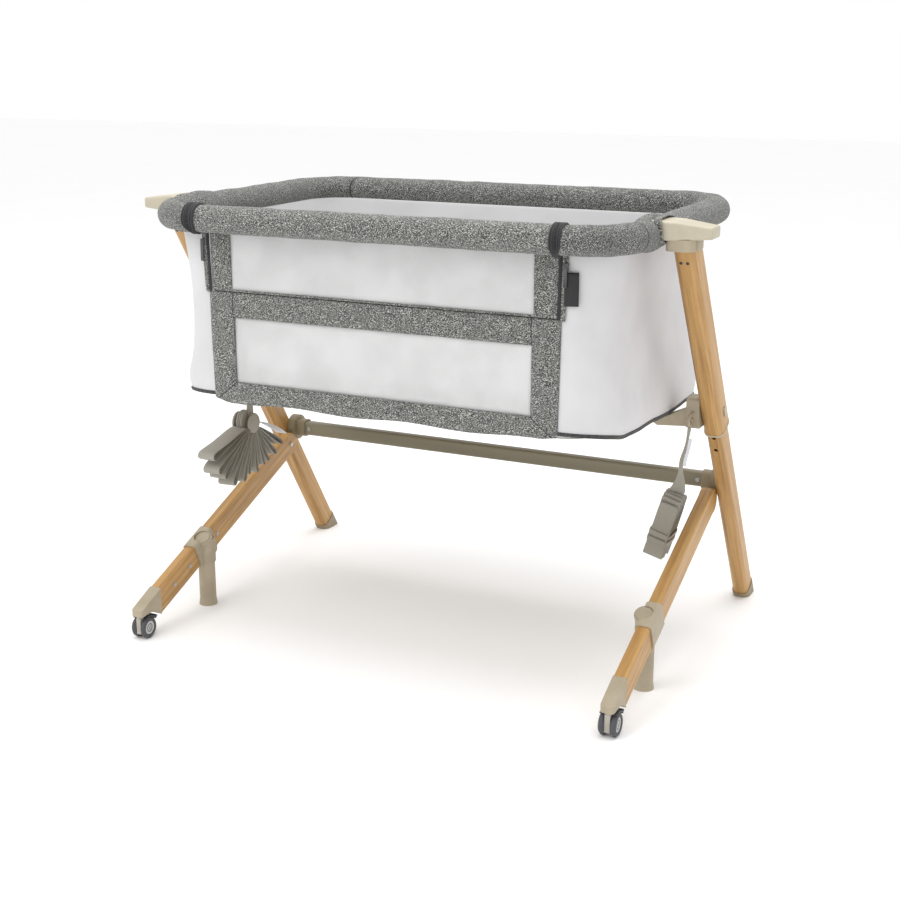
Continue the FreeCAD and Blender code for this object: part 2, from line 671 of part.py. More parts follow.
def caster_fork():
    """Central web between the wheels, with its stem, neck and axle."""
    lower = WHEEL_RADIUS * WEB_SHARE
    web = cylinder_x(lower, LEG_X - WEB_THICK / 2, LEG_X + WEB_THICK / 2, WHEEL_Y, WHEEL_RADIUS)
    front = block(LEG_X - WEB_THICK / 2, LEG_X + WEB_THICK / 2,
                  STEM_Y - NECK_RADIUS, STEM_Y + NECK_RADIUS, WHEEL_RADIUS / 2, NECK_TOP_Z - NECK_HIGH)
    neck = Part.makeCylinder(NECK_RADIUS, NECK_HIGH, Vector(LEG_X, STEM_Y, NECK_TOP_Z - NECK_HIGH))
    stem = Part.makeCylinder(STEM_RADIUS, STEM_IN + NECK_HIGH / 2 - FIT_GAP,
                             Vector(LEG_X, STEM_Y, NECK_TOP_Z - NECK_HIGH / 2))
    span = WEB_THICK / 2 + FIT_GAP + WHEEL_THICK
    axle = cylinder_x(AXLE_RADIUS, LEG_X - span, LEG_X + span, WHEEL_Y, WHEEL_RADIUS)
    return web.fuse([front, neck, stem, axle])


def caster_wheel(side):
    """Wheel with a rounded tyre and a dished hub, on its half of the axle."""
    inner = WEB_THICK / 2 + FIT_GAP
    dish = WHEEL_RADIUS * WHEEL_DISH
    crown = WHEEL_THICK * WHEEL_CROWN
    bore = AXLE_RADIUS + FIT_GAP / 4
    outline = [
        (inner, bore), (inner, WHEEL_RADIUS - crown), (inner + crown, WHEEL_RADIUS),
        (inner + WHEEL_THICK - crown, WHEEL_RADIUS), (inner + WHEEL_THICK, WHEEL_RADIUS - crown),
        (inner + WHEEL_THICK, dish + DISH_DEEP), (inner + WHEEL_THICK - DISH_DEEP, dish),
        (inner + WHEEL_THICK - DISH_DEEP, dish / 2), (inner + WHEEL_THICK - FIT_GAP, dish / 2 - DISH_DEEP),
        (inner + WHEEL_THICK - FIT_GAP, bore),
    ]
    corners = [Vector(side * x, r, 0) for x, r in outline]
    ring = Part.Face(Part.makePolygon(corners + corners[:1]))
    wheel = ring.revolve(Vector(0, 0, 0), X_AXIS, FULL_TURN)
    wheel.translate(Vector(LEG_X, WHEEL_Y, WHEEL_RADIUS))
    return wheel


def caster_brake():
    """Hood over the wheels with the toe tab that brakes them."""
    wide = WEB_THICK / 2 + FIT_GAP + WHEEL_THICK
    inner = WHEEL_RADIUS + HOOD_GAP
    outer = inner + HOOD_THICK

    def at(radius, angle):
        turn = math.radians(angle)
        return Vector(0, -radius * math.cos(turn), radius * math.sin(turn))

    middle = (HOOD_FROM + HOOD_TO) / 2
    tip = outer + HOOD_TAB
    root = HOOD_TO - TAB_ROOT
    edges = [
        Part.Arc(at(inner, HOOD_FROM), at(inner, middle), at(inner, HOOD_TO)).toShape(),
        Part.LineSegment(at(inner, HOOD_TO), at(tip, HOOD_TO)).toShape(),
        Part.LineSegment(at(tip, HOOD_TO), at(tip, HOOD_TO - TAB_LEAN)).toShape(),
        Part.LineSegment(at(tip, HOOD_TO - TAB_LEAN), at(outer, root)).toShape(),
        Part.Arc(at(outer, root), at(outer, middle), at(outer, HOOD_FROM)).toShape(),
        Part.LineSegment(at(outer, HOOD_FROM), at(inner, HOOD_FROM)).toShape(),
    ]
    hood = Part.Face(Part.Wire(edges)).extrude(X_AXIS * (2 * wide))
    hood.translate(Vector(LEG_X - wide, WHEEL_Y, WHEEL_RADIUS))
    notch = block(LEG_X - NECK_RADIUS - HOOD_GAP, LEG_X + NECK_RADIUS + HOOD_GAP,
                  STEM_Y - 2 * NECK_RADIUS, STEM_Y + NECK_RADIUS + 4 * HOOD_GAP, 0, DEPTH)
    return hood.cut(notch)


# ---------------------------------------------------------------- support feet
def press_heading():
    tilt = math.radians(PRESS_TILT)
    return Vector(0, -math.sin(tilt), math.cos(tilt))


def foot_sleeve():
    """Moulding that joins the two leg tubes and houses the foot and its button."""
    jacket = bar(LEG_WIDE + 2 * SLEEVE_WALL, LEG_DEEP + 2 * SLEEVE_WALL, LEG_ROUND + SLEEVE_WALL,
                 SLEEVE_TO - SLEEVE_FROM)
    jacket = on_leg(jacket, SLEEVE_FROM)
    socket = bar(LEG_WIDE + FIT_GAP, LEG_DEEP + FIT_GAP, LEG_ROUND, SOCKET_DEEP + 2 * FIT_GAP)
    front_socket = on_leg(socket, SLEEVE_FROM - FIT_GAP)
    back_socket = on_leg(socket, SLEEVE_TO - SOCKET_DEEP - FIT_GAP)
    jacket = jacket.cut([front_socket, back_socket])
    inside = 2 * TUBE_WALL + FIT_GAP
    tongue = bar(LEG_WIDE - inside, LEG_DEEP - inside, LEG_ROUND - TUBE_WALL,
                 SLEEVE_TO - SLEEVE_FROM - 2 * SOCKET_DEEP + 2 * TONGUE_LONG)
    tongue = on_leg(tongue, SLEEVE_FROM + SOCKET_DEEP - TONGUE_LONG)
    heading = press_heading()
    press_at = Vector(FOOT_X, PRESS_Y, PRESS_Z)
    axis_z = leg_point(leg_along(FOOT_Y), 0).z
    housing = Part.makeCylinder(BOSS_RADIUS, axis_z - BOSS_BOTTOM_Z + LEG_DEEP / 3,
                                Vector(FOOT_X, FOOT_Y, BOSS_BOTTOM_Z))
    ring = Part.makeCylinder(PRESS_RADIUS + PRESS_RING, RING_LONG, press_at - heading * RING_LONG, heading)
    outside = block(LEG_X + LEG_WIDE / 2, LEG_X + LEG_DEEP, -DEPTH, DEPTH, 0, DEPTH)
    tube_room = bar(LEG_WIDE + FIT_GAP, LEG_DEEP + FIT_GAP, LEG_ROUND, SLEEVE_FROM + SOCKET_DEEP + FIT_GAP)
    lower_room = on_leg(tube_room, 0)
    upper_room = on_leg(tube_room, SLEEVE_TO - SOCKET_DEEP - FIT_GAP)
    column = housing.fuse(ring).cut([outside, lower_room, upper_room])
    body = jacket.fuse([tongue, column])
    well_foot = press_at - heading * PRESS_DEEP
    well = Part.makeCylinder(PRESS_RADIUS + FIT_GAP, PRESS_DEEP + LEG_DEEP, well_foot, heading)
    bore = Part.makeCylinder(SUPPORT_RADIUS + FIT_GAP, BORE_TOP_Z - SUPPORT_FLARE_HIGH,
                             Vector(FOOT_X, FOOT_Y, SUPPORT_FLARE_HIGH))
    guide_foot = Vector(FOOT_X, FOOT_Y, GUIDE_END_Z)
    guide = Part.makeCylinder(GUIDE_RADIUS, BORE_TOP_Z - GUIDE_END_Z + FIT_GAP, guide_foot)
    return body.cut([well, bore]).fuse(guide)


def support_foot():
    """Round foot that slides up over its guide into the housing."""
    low = Part.makeCone(SUPPORT_RADIUS + SUPPORT_FLARE, SUPPORT_RADIUS, SUPPORT_FLARE_HIGH,
                        Vector(FOOT_X, FOOT_Y, 0))
    upper = Part.makeCylinder(SUPPORT_RADIUS, SUPPORT_TOP_Z - SUPPORT_FLARE_HIGH,
                              Vector(FOOT_X, FOOT_Y, SUPPORT_FLARE_HIGH))
    bore = Part.makeCylinder(GUIDE_RADIUS + FIT_GAP, SUPPORT_TOP_Z, Vector(FOOT_X, FOOT_Y, SUPPORT_SOLE))
    return low.fuse(upper).cut(bore)


def foot_button():
    """Round push button, flush in its ring, with a crowned face."""
    heading = press_heading()
    face = Vector(FOOT_X, PRESS_Y, PRESS_Z) + heading * PRESS_PROUD
    long = PRESS_PROUD + PRESS_DEEP - PRESS_TRAVEL - FIT_GAP
    body = Part.makeCylinder(PRESS_RADIUS, long, face - heading * long, heading)
    return softened(body, PRESS_PROUD * PRESS_SOFT, lambda edge: (edge.CenterOfMass - face).Length < FIT_GAP)


# ---------------------------------------------------------------- posts
def button_slot(long, wide, thick, out_to):
    """Stadium-shaped prism along X on the outer side of the post."""
    body = bar(long, wide, wide / 2, thick)
    body.rotate(Vector(0, 0, 0), Z_AXIS, QUARTER_TURN)
    body.rotate(Vector(0, 0, 0), Y_AXIS, QUARTER_TURN)
    body.rotate(Vector(0, 0, 0), X_AXIS, QUARTER_TURN)
    body.translate(Vector(out_to - thick - POST_X, 0, 0))
    return on_post(body, BUTTON_AT)


def post():
    """Outer tube that slides on the rear leg, cut level under its head."""
    body = on_post(tube(OUTER_WIDE, OUTER_DEEP, OUTER_ROUND, TUBE_WALL, POST_END + OUTER_DEEP - POST_BOTTOM),
                   POST_BOTTOM)
    body = body.cut(block(0, DEPTH, -DEPTH, DEPTH, POST_TOP_Z, 2 * DEPTH))
    slot = button_slot(BUTTON_LONG + 2 * BUTTON_MARGIN, BUTTON_WIDE + 2 * BUTTON_MARGIN, TUBE_WALL * 3,
                       BUTTON_FACE_X + TUBE_WALL)
    return body.cut(slot)


def collar():
    """Lip under the outer tube, with the thin liner that guides it and the button's frame."""
    lip = bar(OUTER_WIDE + 2 * COLLAR_PROUD, OUTER_DEEP + 2 * COLLAR_PROUD,
              OUTER_ROUND + COLLAR_PROUD, COLLAR_LIP)
    cavity = 2 * (TUBE_WALL + FIT_GAP / 2)
    liner = bar(OUTER_WIDE - cavity, OUTER_DEEP - cavity, OUTER_ROUND - TUBE_WALL, LINER_LONG + COLLAR_LIP)
    body = lip.fuse(liner)
    bore = bar(INNER_WIDE + 2 * FIT_GAP, INNER_DEEP + 2 * FIT_GAP, INNER_ROUND, LINER_LONG + COLLAR_LIP)
    body = body.cut(bore)
    body = on_post(body, POST_BOTTOM - COLLAR_LIP)
    margin = 2 * BUTTON_MARGIN - 2 * FIT_GAP
    thick = (OUTER_WIDE - INNER_WIDE) / 2 - FIT_GAP - BEZEL_DOWN
    bezel = button_slot(BUTTON_LONG + margin, BUTTON_WIDE + margin, thick, BUTTON_FACE_X - BEZEL_DOWN)
    window = button_slot(BUTTON_LONG + 2 * FIT_GAP, BUTTON_WIDE + 2 * FIT_GAP, OUTER_WIDE / 4, BUTTON_FACE_X)
    return body.fuse(bezel).cut(window)


def height_button():
    """Oval button on the outer side of the post."""
    return button_slot(BUTTON_LONG, BUTTON_WIDE, BUTTON_THICK, BUTTON_FACE_X + BUTTON_PROUD)


def arm_envelope(grow=0.0):
    """Tapered beam from inside the rim to its blunt tip, as one loft."""
    def section(x, wide, top, bottom):
        wire = rounded_outline(wide + 2 * grow, top - bottom + 2 * grow, ARM_ROUND + grow)
        wire.rotate(Vector(0, 0, 0), X_AXIS, QUARTER_TURN)
        wire.rotate(Vector(0, 0, 0), Z_AXIS, QUARTER_TURN)
        wire.translate(Vector(x, ARM_Y, RIM_Z + (top + bottom) / 2))
        return wire

    shoulder = (ARM_TIP_X + ARM_ROOT_X) / 2
    return Part.makeLoft([
        section(ARM_ROOT_X - grow, ARM_WIDE, ARM_ROOT_TOP, ARM_ROOT_BOTTOM),
        section(shoulder, ARM_WIDE, ARM_ROOT_TOP - ARM_CROWN / 2, ARM_ROOT_BOTTOM),
        section(ARM_TIP_X, ARM_TIP_WIDE, ARM_TIP_TOP, ARM_TIP_BOTTOM),
    ], True, True)


def top_arm():
    body = arm_envelope()
    body = softened(body, ARM_ROUND / 2, lambda edge: edge.CenterOfMass.x > ARM_TIP_X - FIT_GAP)
    saddle = Part.makeCylinder(RIM_TUBE_RADIUS + FIT_GAP, 2 * ARM_WIDE,
                               Vector(RIM_END_X, ARM_Y - ARM_WIDE, RIM_Z), Y_AXIS)
    return body.cut(saddle)


def post_head():
    """Socket over the post's top, under the arm, with its lock tab."""
    top = RIM_Z + (ARM_ROOT_BOTTOM + ARM_TIP_BOTTOM) / 2
    body = bar(HEAD_WIDE, HEAD_DEEP, HEAD_ROUND, top - POST_TOP_Z + HEAD_SKIRT)
    body.translate(Vector(POST_X, HEAD_Y, POST_TOP_Z - HEAD_SKIRT))
    tab = bar(TAB_WIDE, TAB_DEEP, TAB_WIDE / 4, top - POST_TOP_Z + HEAD_SKIRT)
    tab.translate(Vector(POST_X + HEAD_WIDE / 2 - TAB_WIDE / 2 + TAB_PROUD, HEAD_Y, POST_TOP_Z - HEAD_SKIRT))
    body = body.fuse(tab)
    room = on_post(bar(OUTER_WIDE + FIT_GAP, OUTER_DEEP + FIT_GAP, OUTER_ROUND, POST_END), OUTER_DEEP)
    room = room.common(block(0, DEPTH, -DEPTH, DEPTH, 0, POST_TOP_Z))
    body = body.cut(room)
    return body.cut([arm_envelope(FIT_GAP / 3), rim_bump(1, FIT_GAP)])


def head_screws():
    """Two small screws on the front face of the post, under its head."""
    heads = []
    facing = Vector(0, -math.cos(LEAN), -math.sin(LEAN))
    for side in (-1, 1):
        spot = post_point(POST_END - SCREW_DOWN, POST_X + side * SCREW_APART / 2) + facing * (OUTER_DEEP / 2)
        heads.append(fastener(SCREW_RADIUS, SCREW_PROUD, spot, facing))
    return heads


# ---------------------------------------------------------------- lower brackets
def lower_bracket():
    """Block on the post's inner side with the reach that carries the bed base."""
    inner_face = POST_X - OUTER_WIDE / 2
    body = block(inner_face - BLOCK_THICK, inner_face, BLOCK_Y - BLOCK_DEEP / 2, BLOCK_Y + BLOCK_DEEP / 2,
                 BLOCK_Z - BLOCK_HIGH / 2, BLOCK_Z + BLOCK_HIGH / 2)
    body = softened(body, BLOCK_ROUND, along_x)
    root = inner_face - BLOCK_THICK
    seat = BASE_Z - BASE_TUBE - FIT_GAP
    end = BASE_HALF_X - REACH_PAST_TUBE
    dip = CLOTH_BOTTOM_Z - REACH_DIP_DOWN
    dip_in = CLOTH_END_BOTTOM_X - REACH_DIP_IN
    profile = [
        (root, BLOCK_Z + REACH_ROOT_UP),
        (CLOTH_END_BOTTOM_X + REACH_DIP_OUT, dip), (dip_in, dip),
        (dip_in - REACH_STEP, seat), (end, seat), (end, seat - REACH_THIN),
        (dip_in, dip - REACH_UNDER_DIP), (root, BLOCK_Z - REACH_ROOT_DOWN),
    ]
    reach = prism_y(profile, BLOCK_Y - REACH_DEEP / 2, BLOCK_Y + REACH_DEEP / 2)
    return body.fuse(reach).removeSplitter()


def strap_hook():
    """Small wire hook on the block's front face."""
    x = POST_X - OUTER_WIDE / 2 - BLOCK_THICK / 2
    face = BLOCK_Y - BLOCK_DEEP / 2
    top = BLOCK_Z - HOOK_DROP
    centre = Vector(x, face - HOOK_RADIUS - HOOK_WIRE, top)
    edges = [
        Part.LineSegment(Vector(x, face, top + HOOK_RADIUS),
                         Vector(x, centre.y, top + HOOK_RADIUS)).toShape(),
        Part.Arc(Vector(x, centre.y, top + HOOK_RADIUS), Vector(x, centre.y - HOOK_RADIUS, top),
                 Vector(x, centre.y, top - HOOK_RADIUS)).toShape(),
        Part.Arc(Vector(x, centre.y, top - HOOK_RADIUS),
                 centre + Vector(0, HOOK_RADIUS * math.sqrt(0.5), -HOOK_RADIUS * math.sqrt(0.5)),
                 Vector(x, centre.y + HOOK_RADIUS, top)).toShape(),
    ]
    return pipe(Part.Wire(edges), HOOK_WIRE)


# ---------------------------------------------------------------- straps
def ribbon(centre_line, thick):
    """Outline of a flat band of one thickness along runs and arcs in a plane."""
    one_side = centre_line.makeOffset2D(thick / 2, 0, False, True)
    other_side = centre_line.makeOffset2D(-thick / 2, 0, False, True)
    ends = []
    for end in (0, -1):
        first = one_side.OrderedVertexes[end].Point
        second = other_side.OrderedVertexes[end].Point
        ends.append(Part.LineSegment(first, second).toShape())
    return Part.Wire(Part.__sortEdges__(one_side.Edges + other_side.Edges + ends))


def fan_line():
    """Centre line of the fanned hank about its tie; X and Y here become Y and Z."""
    step = math.radians(FAN_TO - FAN_FROM) / (2 * FAN_LOOPS - 1)

    def on_ray(number, distance):
        angle = math.radians(FAN_FROM) + step * number
        return Vector(distance * math.cos(angle), distance * math.sin(angle), 0)

    def crown(number, distance, side):
        radius = distance * math.tan(step / 2)
        return on_ray(number + 1 / 2, distance / math.cos(step / 2) + side * radius)

    edges = []
    for loop in range(FAN_LOOPS):
        there = 2 * loop
        back = there + 1
        far = fan_reach(loop)
        edges.append(Part.LineSegment(on_ray(there, FAN_CORE), on_ray(there, far)).toShape())
        edges.append(Part.Arc(on_ray(there, far), crown(there, far, 1), on_ray(back, far)).toShape())
        edges.append(Part.LineSegment(on_ray(back, far), on_ray(back, FAN_CORE)).toShape())
        if loop < FAN_LOOPS - 1:
            edges.append(Part.Arc(on_ray(back, FAN_CORE), crown(back, FAN_CORE, -1),
                                  on_ray(back + 1, FAN_CORE)).toShape())
    return Part.Wire(edges)


def fan_reach(loop):
    """Loops are long at the front, short in the middle and longer again at the back."""
    share = loop / (FAN_LOOPS - 1)
    front = max(0.0, math.cos(math.pi / 2 * share / FAN_VALLEY))
    back = max(0.0, (share - FAN_VALLEY) / (1 - FAN_VALLEY))
    reach = FAN_SHORT + (FAN_LONG - FAN_SHORT) * front + (FAN_BACK - FAN_SHORT) * back ** 2
    return reach + FAN_RIPPLE * math.sin(FAN_WAVE * loop)


def self_gap(wire):
    """Least clear distance between runs of a band that are not neighbours."""
    runs = wire.OrderedEdges
    gaps = []
    for first in range(len(runs)):
        for second in range(first + 2, len(runs)):
            gaps.append(runs[first].distToShape(runs[second])[0])
    return min(gaps) - STRAP_THICK


def band_solid(line, label):
    """Flat band standing on its edge along a line, centred on its own width."""
    print("%s: band %.0f mm long, least self-gap %.2f mm" % (label, line.Length, self_gap(line)))
    body = Part.Face(ribbon(line, STRAP_THICK)).extrude(Z_AXIS * STRAP_WIDE)
    body.translate(Z_AXIS * (-STRAP_WIDE / 2))
    body.rotate(Vector(0, 0, 0), X_AXIS, QUARTER_TURN)
    body.rotate(Vector(0, 0, 0), Z_AXIS, QUARTER_TURN)
    return body


def strap_hank_left():
    """Fanned loops hung under the bed's left end, as one unbroken band."""
    body = band_solid(fan_line(), "fanned hank")
    hanger = block(-HANGER_WIDE / 2, HANGER_WIDE / 2, -STRAP_THICK, STRAP_THICK,
                   0, BASE_Z - BASE_TUBE - FIT_GAP - FAN_Z)
    hanger.translate(Vector(HANGER_WIDE, 0, 0))
    tie = cylinder_x(TIE_RADIUS, -STRAP_WIDE / 2 - STRAP_THICK, STRAP_WIDE / 2 + STRAP_THICK, 0, 0)
    wrap = cylinder_x(FAN_CORE + STRAP_THICK, -STRAP_WIDE / 2 - STRAP_THICK, -STRAP_WIDE / 2, 0, 0)
    other = cylinder_x(FAN_CORE + STRAP_THICK, STRAP_WIDE / 2, STRAP_WIDE / 2 + STRAP_THICK, 0, 0)
    body = body.fuse([hanger, tie, wrap, other])
    body.translate(Vector(FAN_X, FAN_Y, FAN_Z))
    return body


def stack_line():
    """Centre line of the folded hank; its top is arched and its foot uneven."""
    count = 2 * STACK_LOOPS

    def across_at(number):
        return (number - (count - 1) / 2) * STACK_PITCH

    def top(number):
        share = (number - (count - 1) / 2) / (count / 2)
        return -STACK_ARCH * share ** 2

    def foot(number):
        return -STACK_LONG + STACK_RAGGED * math.sin(STACK_WAVE * number)

    radius = STACK_PITCH / 2
    edges = []
    for loop in range(STACK_LOOPS):
        down = 2 * loop
        up = down + 1
        low = foot(down)
        start = top(down - 1 / 2) if loop else top(down)
        finish = top(up + 1 / 2) if loop < STACK_LOOPS - 1 else top(up)
        going = across_at(down)
        edges.append(Part.LineSegment(Vector(going, start, 0), Vector(going, low, 0)).toShape())
        edges.append(Part.Arc(Vector(going, low, 0), Vector(going + radius, low - radius, 0),
                              Vector(across_at(up), low, 0)).toShape())
        coming = across_at(up)
        edges.append(Part.LineSegment(Vector(coming, low, 0), Vector(coming, finish, 0)).toShape())
        if loop < STACK_LOOPS - 1:
            edges.append(Part.Arc(Vector(across_at(up), finish, 0),
                                  Vector(across_at(up) + radius, finish + radius, 0),
                                  Vector(across_at(up + 1), finish, 0)).toShape())
    return Part.Wire(edges)


def strap_hank_right():
    """Folded hank hung from the right hook, leaning inboard off the front leg."""
    body = band_solid(stack_line(), "folded hank")
    half = STACK_LOOPS * STACK_PITCH + STRAP_THICK / 2
    middle = -STACK_LONG * KEEPER_AT
    keeper = block(-STRAP_WIDE / 2 - STRAP_THICK, STRAP_WIDE / 2 + STRAP_THICK, -half, half,
                   middle - KEEPER_HIGH / 2, middle + KEEPER_HIGH / 2)
    room = block(-STRAP_WIDE / 2 - FIT_GAP / 2, STRAP_WIDE / 2 + FIT_GAP / 2,
                 -half + STRAP_THICK, half - STRAP_THICK, middle - KEEPER_HIGH, middle + KEEPER_HIGH)
    body = body.fuse(keeper.cut(room))
    body.rotate(Vector(0, 0, 0), Y_AXIS, STACK_LEAN)
    body.translate(Vector(STACK_X, STACK_Y, STACK_Z))
    return body.fuse(stack_neck())


def stack_neck():
    """Gathered strap between the hook and the folded hank, flaring to its full width."""
    def section(centre, wide, thick):
        wire = rounded_outline(wide, thick, thick / 3)
        wire.translate(centre)
        return wire

    hook = hook_eye()
    foot = Vector(STACK_X, STACK_Y, STACK_Z - STRAP_THICK)
    flare = foot + (hook - foot) * NECK_FLARE
    flare.z = STACK_Z + (hook.z - STACK_Z) * NECK_FLARE
    return Part.makeLoft([
        section(foot, STRAP_WIDE, NECK_THICK),
        section(flare, NECK_WIDE, NECK_THICK),
        section(hook, NECK_WIDE, NECK_THICK),
    ], True, True)


def hook_eye():
    """Where the strap's upper end hangs, just under the hook."""
    x = POST_X - OUTER_WIDE / 2 - BLOCK_THICK / 2
    y = BLOCK_Y - BLOCK_DEEP / 2 - HOOK_RADIUS - HOOK_WIRE
    return Vector(x, y, BLOCK_Z - HOOK_DROP - HOOK_RADIUS - HOOK_WIRE - FIT_GAP)


# ---------------------------------------------------------------- rim
def rim_path():
    """Level path of the fixed rim: front end, round the back, front end."""
    right_front = Vector(RIM_END_X - RIM_CORNER, RIM_FRONT_Y + RIM_CORNER, RIM_Z)
    right_back = Vector(RIM_END_X - RIM_CORNER, RIM_BACK_Y - RIM_CORNER, RIM_Z)
    left_back = Vector(-right_back.x, right_back.y, RIM_Z)
    left_front = Vector(-right_front.x, right_front.y, RIM_Z)
    arcs = [
        corner_arc(right_front, RIM_CORNER, -QUARTER_TURN, 0),
        corner_arc(right_back, RIM_CORNER, 0, QUARTER_TURN),
        corner_arc(left_back, RIM_CORNER, QUARTER_TURN, HALF_TURN),
        corner_arc(left_front, RIM_CORNER, HALF_TURN, HALF_TURN + QUARTER_TURN),
    ]
    return joined(arcs)


def rim_tube():
    return pipe(rim_path(), RIM_TUBE_RADIUS, RIM_TUBE_WALL)


def rim_padding():
    """Padded sleeve, fuller where it covers the root of each arm."""
    body = pipe(rim_path(), RIM_RADIUS)
    for side in (1, -1):
        body = body.fuse(rim_bump(side))
    room = arm_envelope(FIT_GAP)
    body = body.cut([pipe(rim_path(), RIM_TUBE_RADIUS + FIT_GAP / 2), room, mirrored(room)])
    return body


def rim_bump(side, grow=0.0):
    """Spindle round the rim at an arm; its ends tuck just inside the sleeve."""
    x = side * RIM_END_X
    low = RIM_RADIUS - BUMP_TUCK + grow
    ends = [Vector(x + low, ARM_Y - BUMP_HALF, RIM_Z), Vector(x + low, ARM_Y + BUMP_HALF, RIM_Z)]
    edges = [
        Part.Arc(ends[0], Vector(x + BUMP_RADIUS + grow, ARM_Y, RIM_Z), ends[1]).toShape(),
        Part.LineSegment(ends[1], Vector(x, ends[1].y, RIM_Z)).toShape(),
        Part.LineSegment(Vector(x, ends[1].y, RIM_Z), Vector(x, ends[0].y, RIM_Z)).toShape(),
        Part.LineSegment(Vector(x, ends[0].y, RIM_Z), ends[0]).toShape(),
    ]
    return Part.Face(Part.Wire(edges)).revolve(Vector(x, 0, RIM_Z), Y_AXIS, FULL_TURN)


def rim_band():
    """Half band round the start of the fixed rim, at the split."""
    centre = Vector(RIM_END_X - RIM_CORNER, RIM_FRONT_Y + RIM_CORNER, RIM_Z)
    start = math.degrees(SEAM_GAP / RIM_CORNER) - QUARTER_TURN
    end = math.degrees(BAND_WIDE / 2 / RIM_CORNER) - QUARTER_TURN
    path = Part.Wire([corner_arc(centre, RIM_CORNER, start, end)])
    inside = RIM_RADIUS + FIT_GAP
    return pipe(path, inside + BAND_THICK, BAND_THICK)


def front_rail(radius, wall):
    half = RAIL_END_X - SEAM_GAP
    outer = cylinder_x(radius, -half, half, RIM_FRONT_Y, RIM_Z)
    return outer.cut(cylinder_x(radius - wall, -half, half, RIM_FRONT_Y, RIM_Z))


# ---------------------------------------------------------------- cloth body
def cloth_run(z, end_x, back_y, corner, shift):
    """Line of the skirt at one height, from its right front edge round to the left."""
    front = Vector(end_x - corner, CLOTH_FRONT_Y + corner, z)
    back = Vector(end_x - corner, back_y - corner, z)
    left_back = Vector(-back.x, back.y, z)
    left_front = Vector(-front.x, front.y, z)
    radius = corner - shift
    arcs = [
        corner_arc(front, radius, -QUARTER_TURN, 0),
        corner_arc(back, radius, 0, QUARTER_TURN),
        corner_arc(left_back, radius, QUARTER_TURN, HALF_TURN),
        corner_arc(left_front, radius, HALF_TURN, HALF_TURN + QUARTER_TURN),
    ]
    first = Part.LineSegment(Vector(CLOTH_FRONT_X, CLOTH_FRONT_Y + shift, z),
                             arcs[0].valueAt(arcs[0].FirstParameter)).toShape()
    last = Part.LineSegment(arcs[-1].valueAt(arcs[-1].LastParameter),
                            Vector(-CLOTH_FRONT_X, CLOTH_FRONT_Y + shift, z)).toShape()
    return [first] + list(joined(arcs).OrderedEdges) + [last]


def cloth_outline(z, end_x, back_y, corner):
    """Closed wire of the skirt's thickness at one height."""
    outer = cloth_run(z, end_x, back_y, corner, 0.0)
    inner = cloth_run(z, end_x, back_y, corner, CLOTH)
    ends = []
    for side in (1, -1):
        ends.append(Part.LineSegment(Vector(side * CLOTH_FRONT_X, CLOTH_FRONT_Y, z),
                                     Vector(side * CLOTH_FRONT_X, CLOTH_FRONT_Y + CLOTH, z)).toShape())
    return Part.Wire(Part.__sortEdges__(outer + ends + inner))


def cloth_skirt():
    """White cloth of the ends and the back, sewn as one and open at the front."""
    bottom = cloth_outline(CLOTH_BOTTOM_Z, CLOTH_END_BOTTOM_X, CLOTH_BACK_BOTTOM_Y, CLOTH_CORNER_BOTTOM)
    top = cloth_outline(CLOTH_TOP_Z, CLOTH_END_TOP_X, CLOTH_BACK_TOP_Y, CLOTH_CORNER_TOP)
    body = Part.makeLoft([bottom, top], True, True)
    rim = pipe(rim_path(), RIM_RADIUS + FIT_GAP)
    return body.cut([under_hem(), mirrored(under_hem()), rim, rim_bump(1, FIT_GAP), rim_bump(-1, FIT_GAP)])


def under_hem():
    """Room below the hem, which sweeps up towards the front panel."""
    front = Vector(0, CLOTH_FRONT_Y - CLOTH, CLOTH_BOTTOM_Z + HEM_FRONT_RISE)
    turn = Vector(0, RIM_FRONT_Y + HEM_TURN_BACK, CLOTH_BOTTOM_Z + HEM_TURN_RISE)
    back = Vector(0, RIM_FRONT_Y + HEM_LEVEL_BACK, CLOTH_BOTTOM_Z)
    sweep = Part.Arc(front, turn, back).toShape()
    low_back = Vector(0, back.y, CLOTH_BOTTOM_Z - PANEL_CORNER)
    low_front = Vector(0, front.y, low_back.z)
    run = Part.makePolygon([back, low_back, low_front, front])
    return Part.Face(Part.Wire([sweep] + run.Edges)).extrude(X_AXIS * RIM_END_X)


# ---------------------------------------------------------------- front panel
def panel_half(z):
    """Half width of the front panel at a height."""
    share = (z - PANEL_BOTTOM_Z) / (PANEL_TOP_Z - PANEL_BOTTOM_Z)
    return PANEL_HALF_BOTTOM + (PANEL_HALF_TOP - PANEL_HALF_BOTTOM) * share


def panel_sheet(low, high, inset, thick):
    """Flat sheet in the panel's plane, between two heights, set in from its sides."""
    low_half = panel_half(low) - inset
    high_half = panel_half(high) - inset
    corners = [(-low_half, low), (low_half, low), (high_half, high), (-high_half, high)]
    return prism_y(corners, PANEL_Y - thick / 2, PANEL_Y + thick / 2)


def lower_border():
    """Middle band, side stiles and bottom hem round the fixed mesh."""
    body = panel_sheet(PANEL_BOTTOM_Z, BAND_TOP_Z, 0, PANEL_THICK)

    def low_corner(edge):
        span = edge.BoundBox
        low = edge.CenterOfMass.z < PANEL_BOTTOM_Z + FIT_GAP
        return low and span.XLength < FIT_GAP and span.ZLength < FIT_GAP

    body = softened(body, PANEL_CORNER, low_corner)
    window = panel_sheet(HEM_TOP_Z, BAND_BOTTOM_Z, STILE_WIDE, 2 * PANEL_THICK)
    return body.cut(window)


def lower_mesh():
    return panel_sheet(HEM_TOP_Z + FIT_GAP, BAND_BOTTOM_Z - FIT_GAP, STILE_WIDE + FIT_GAP, MESH_THICK)


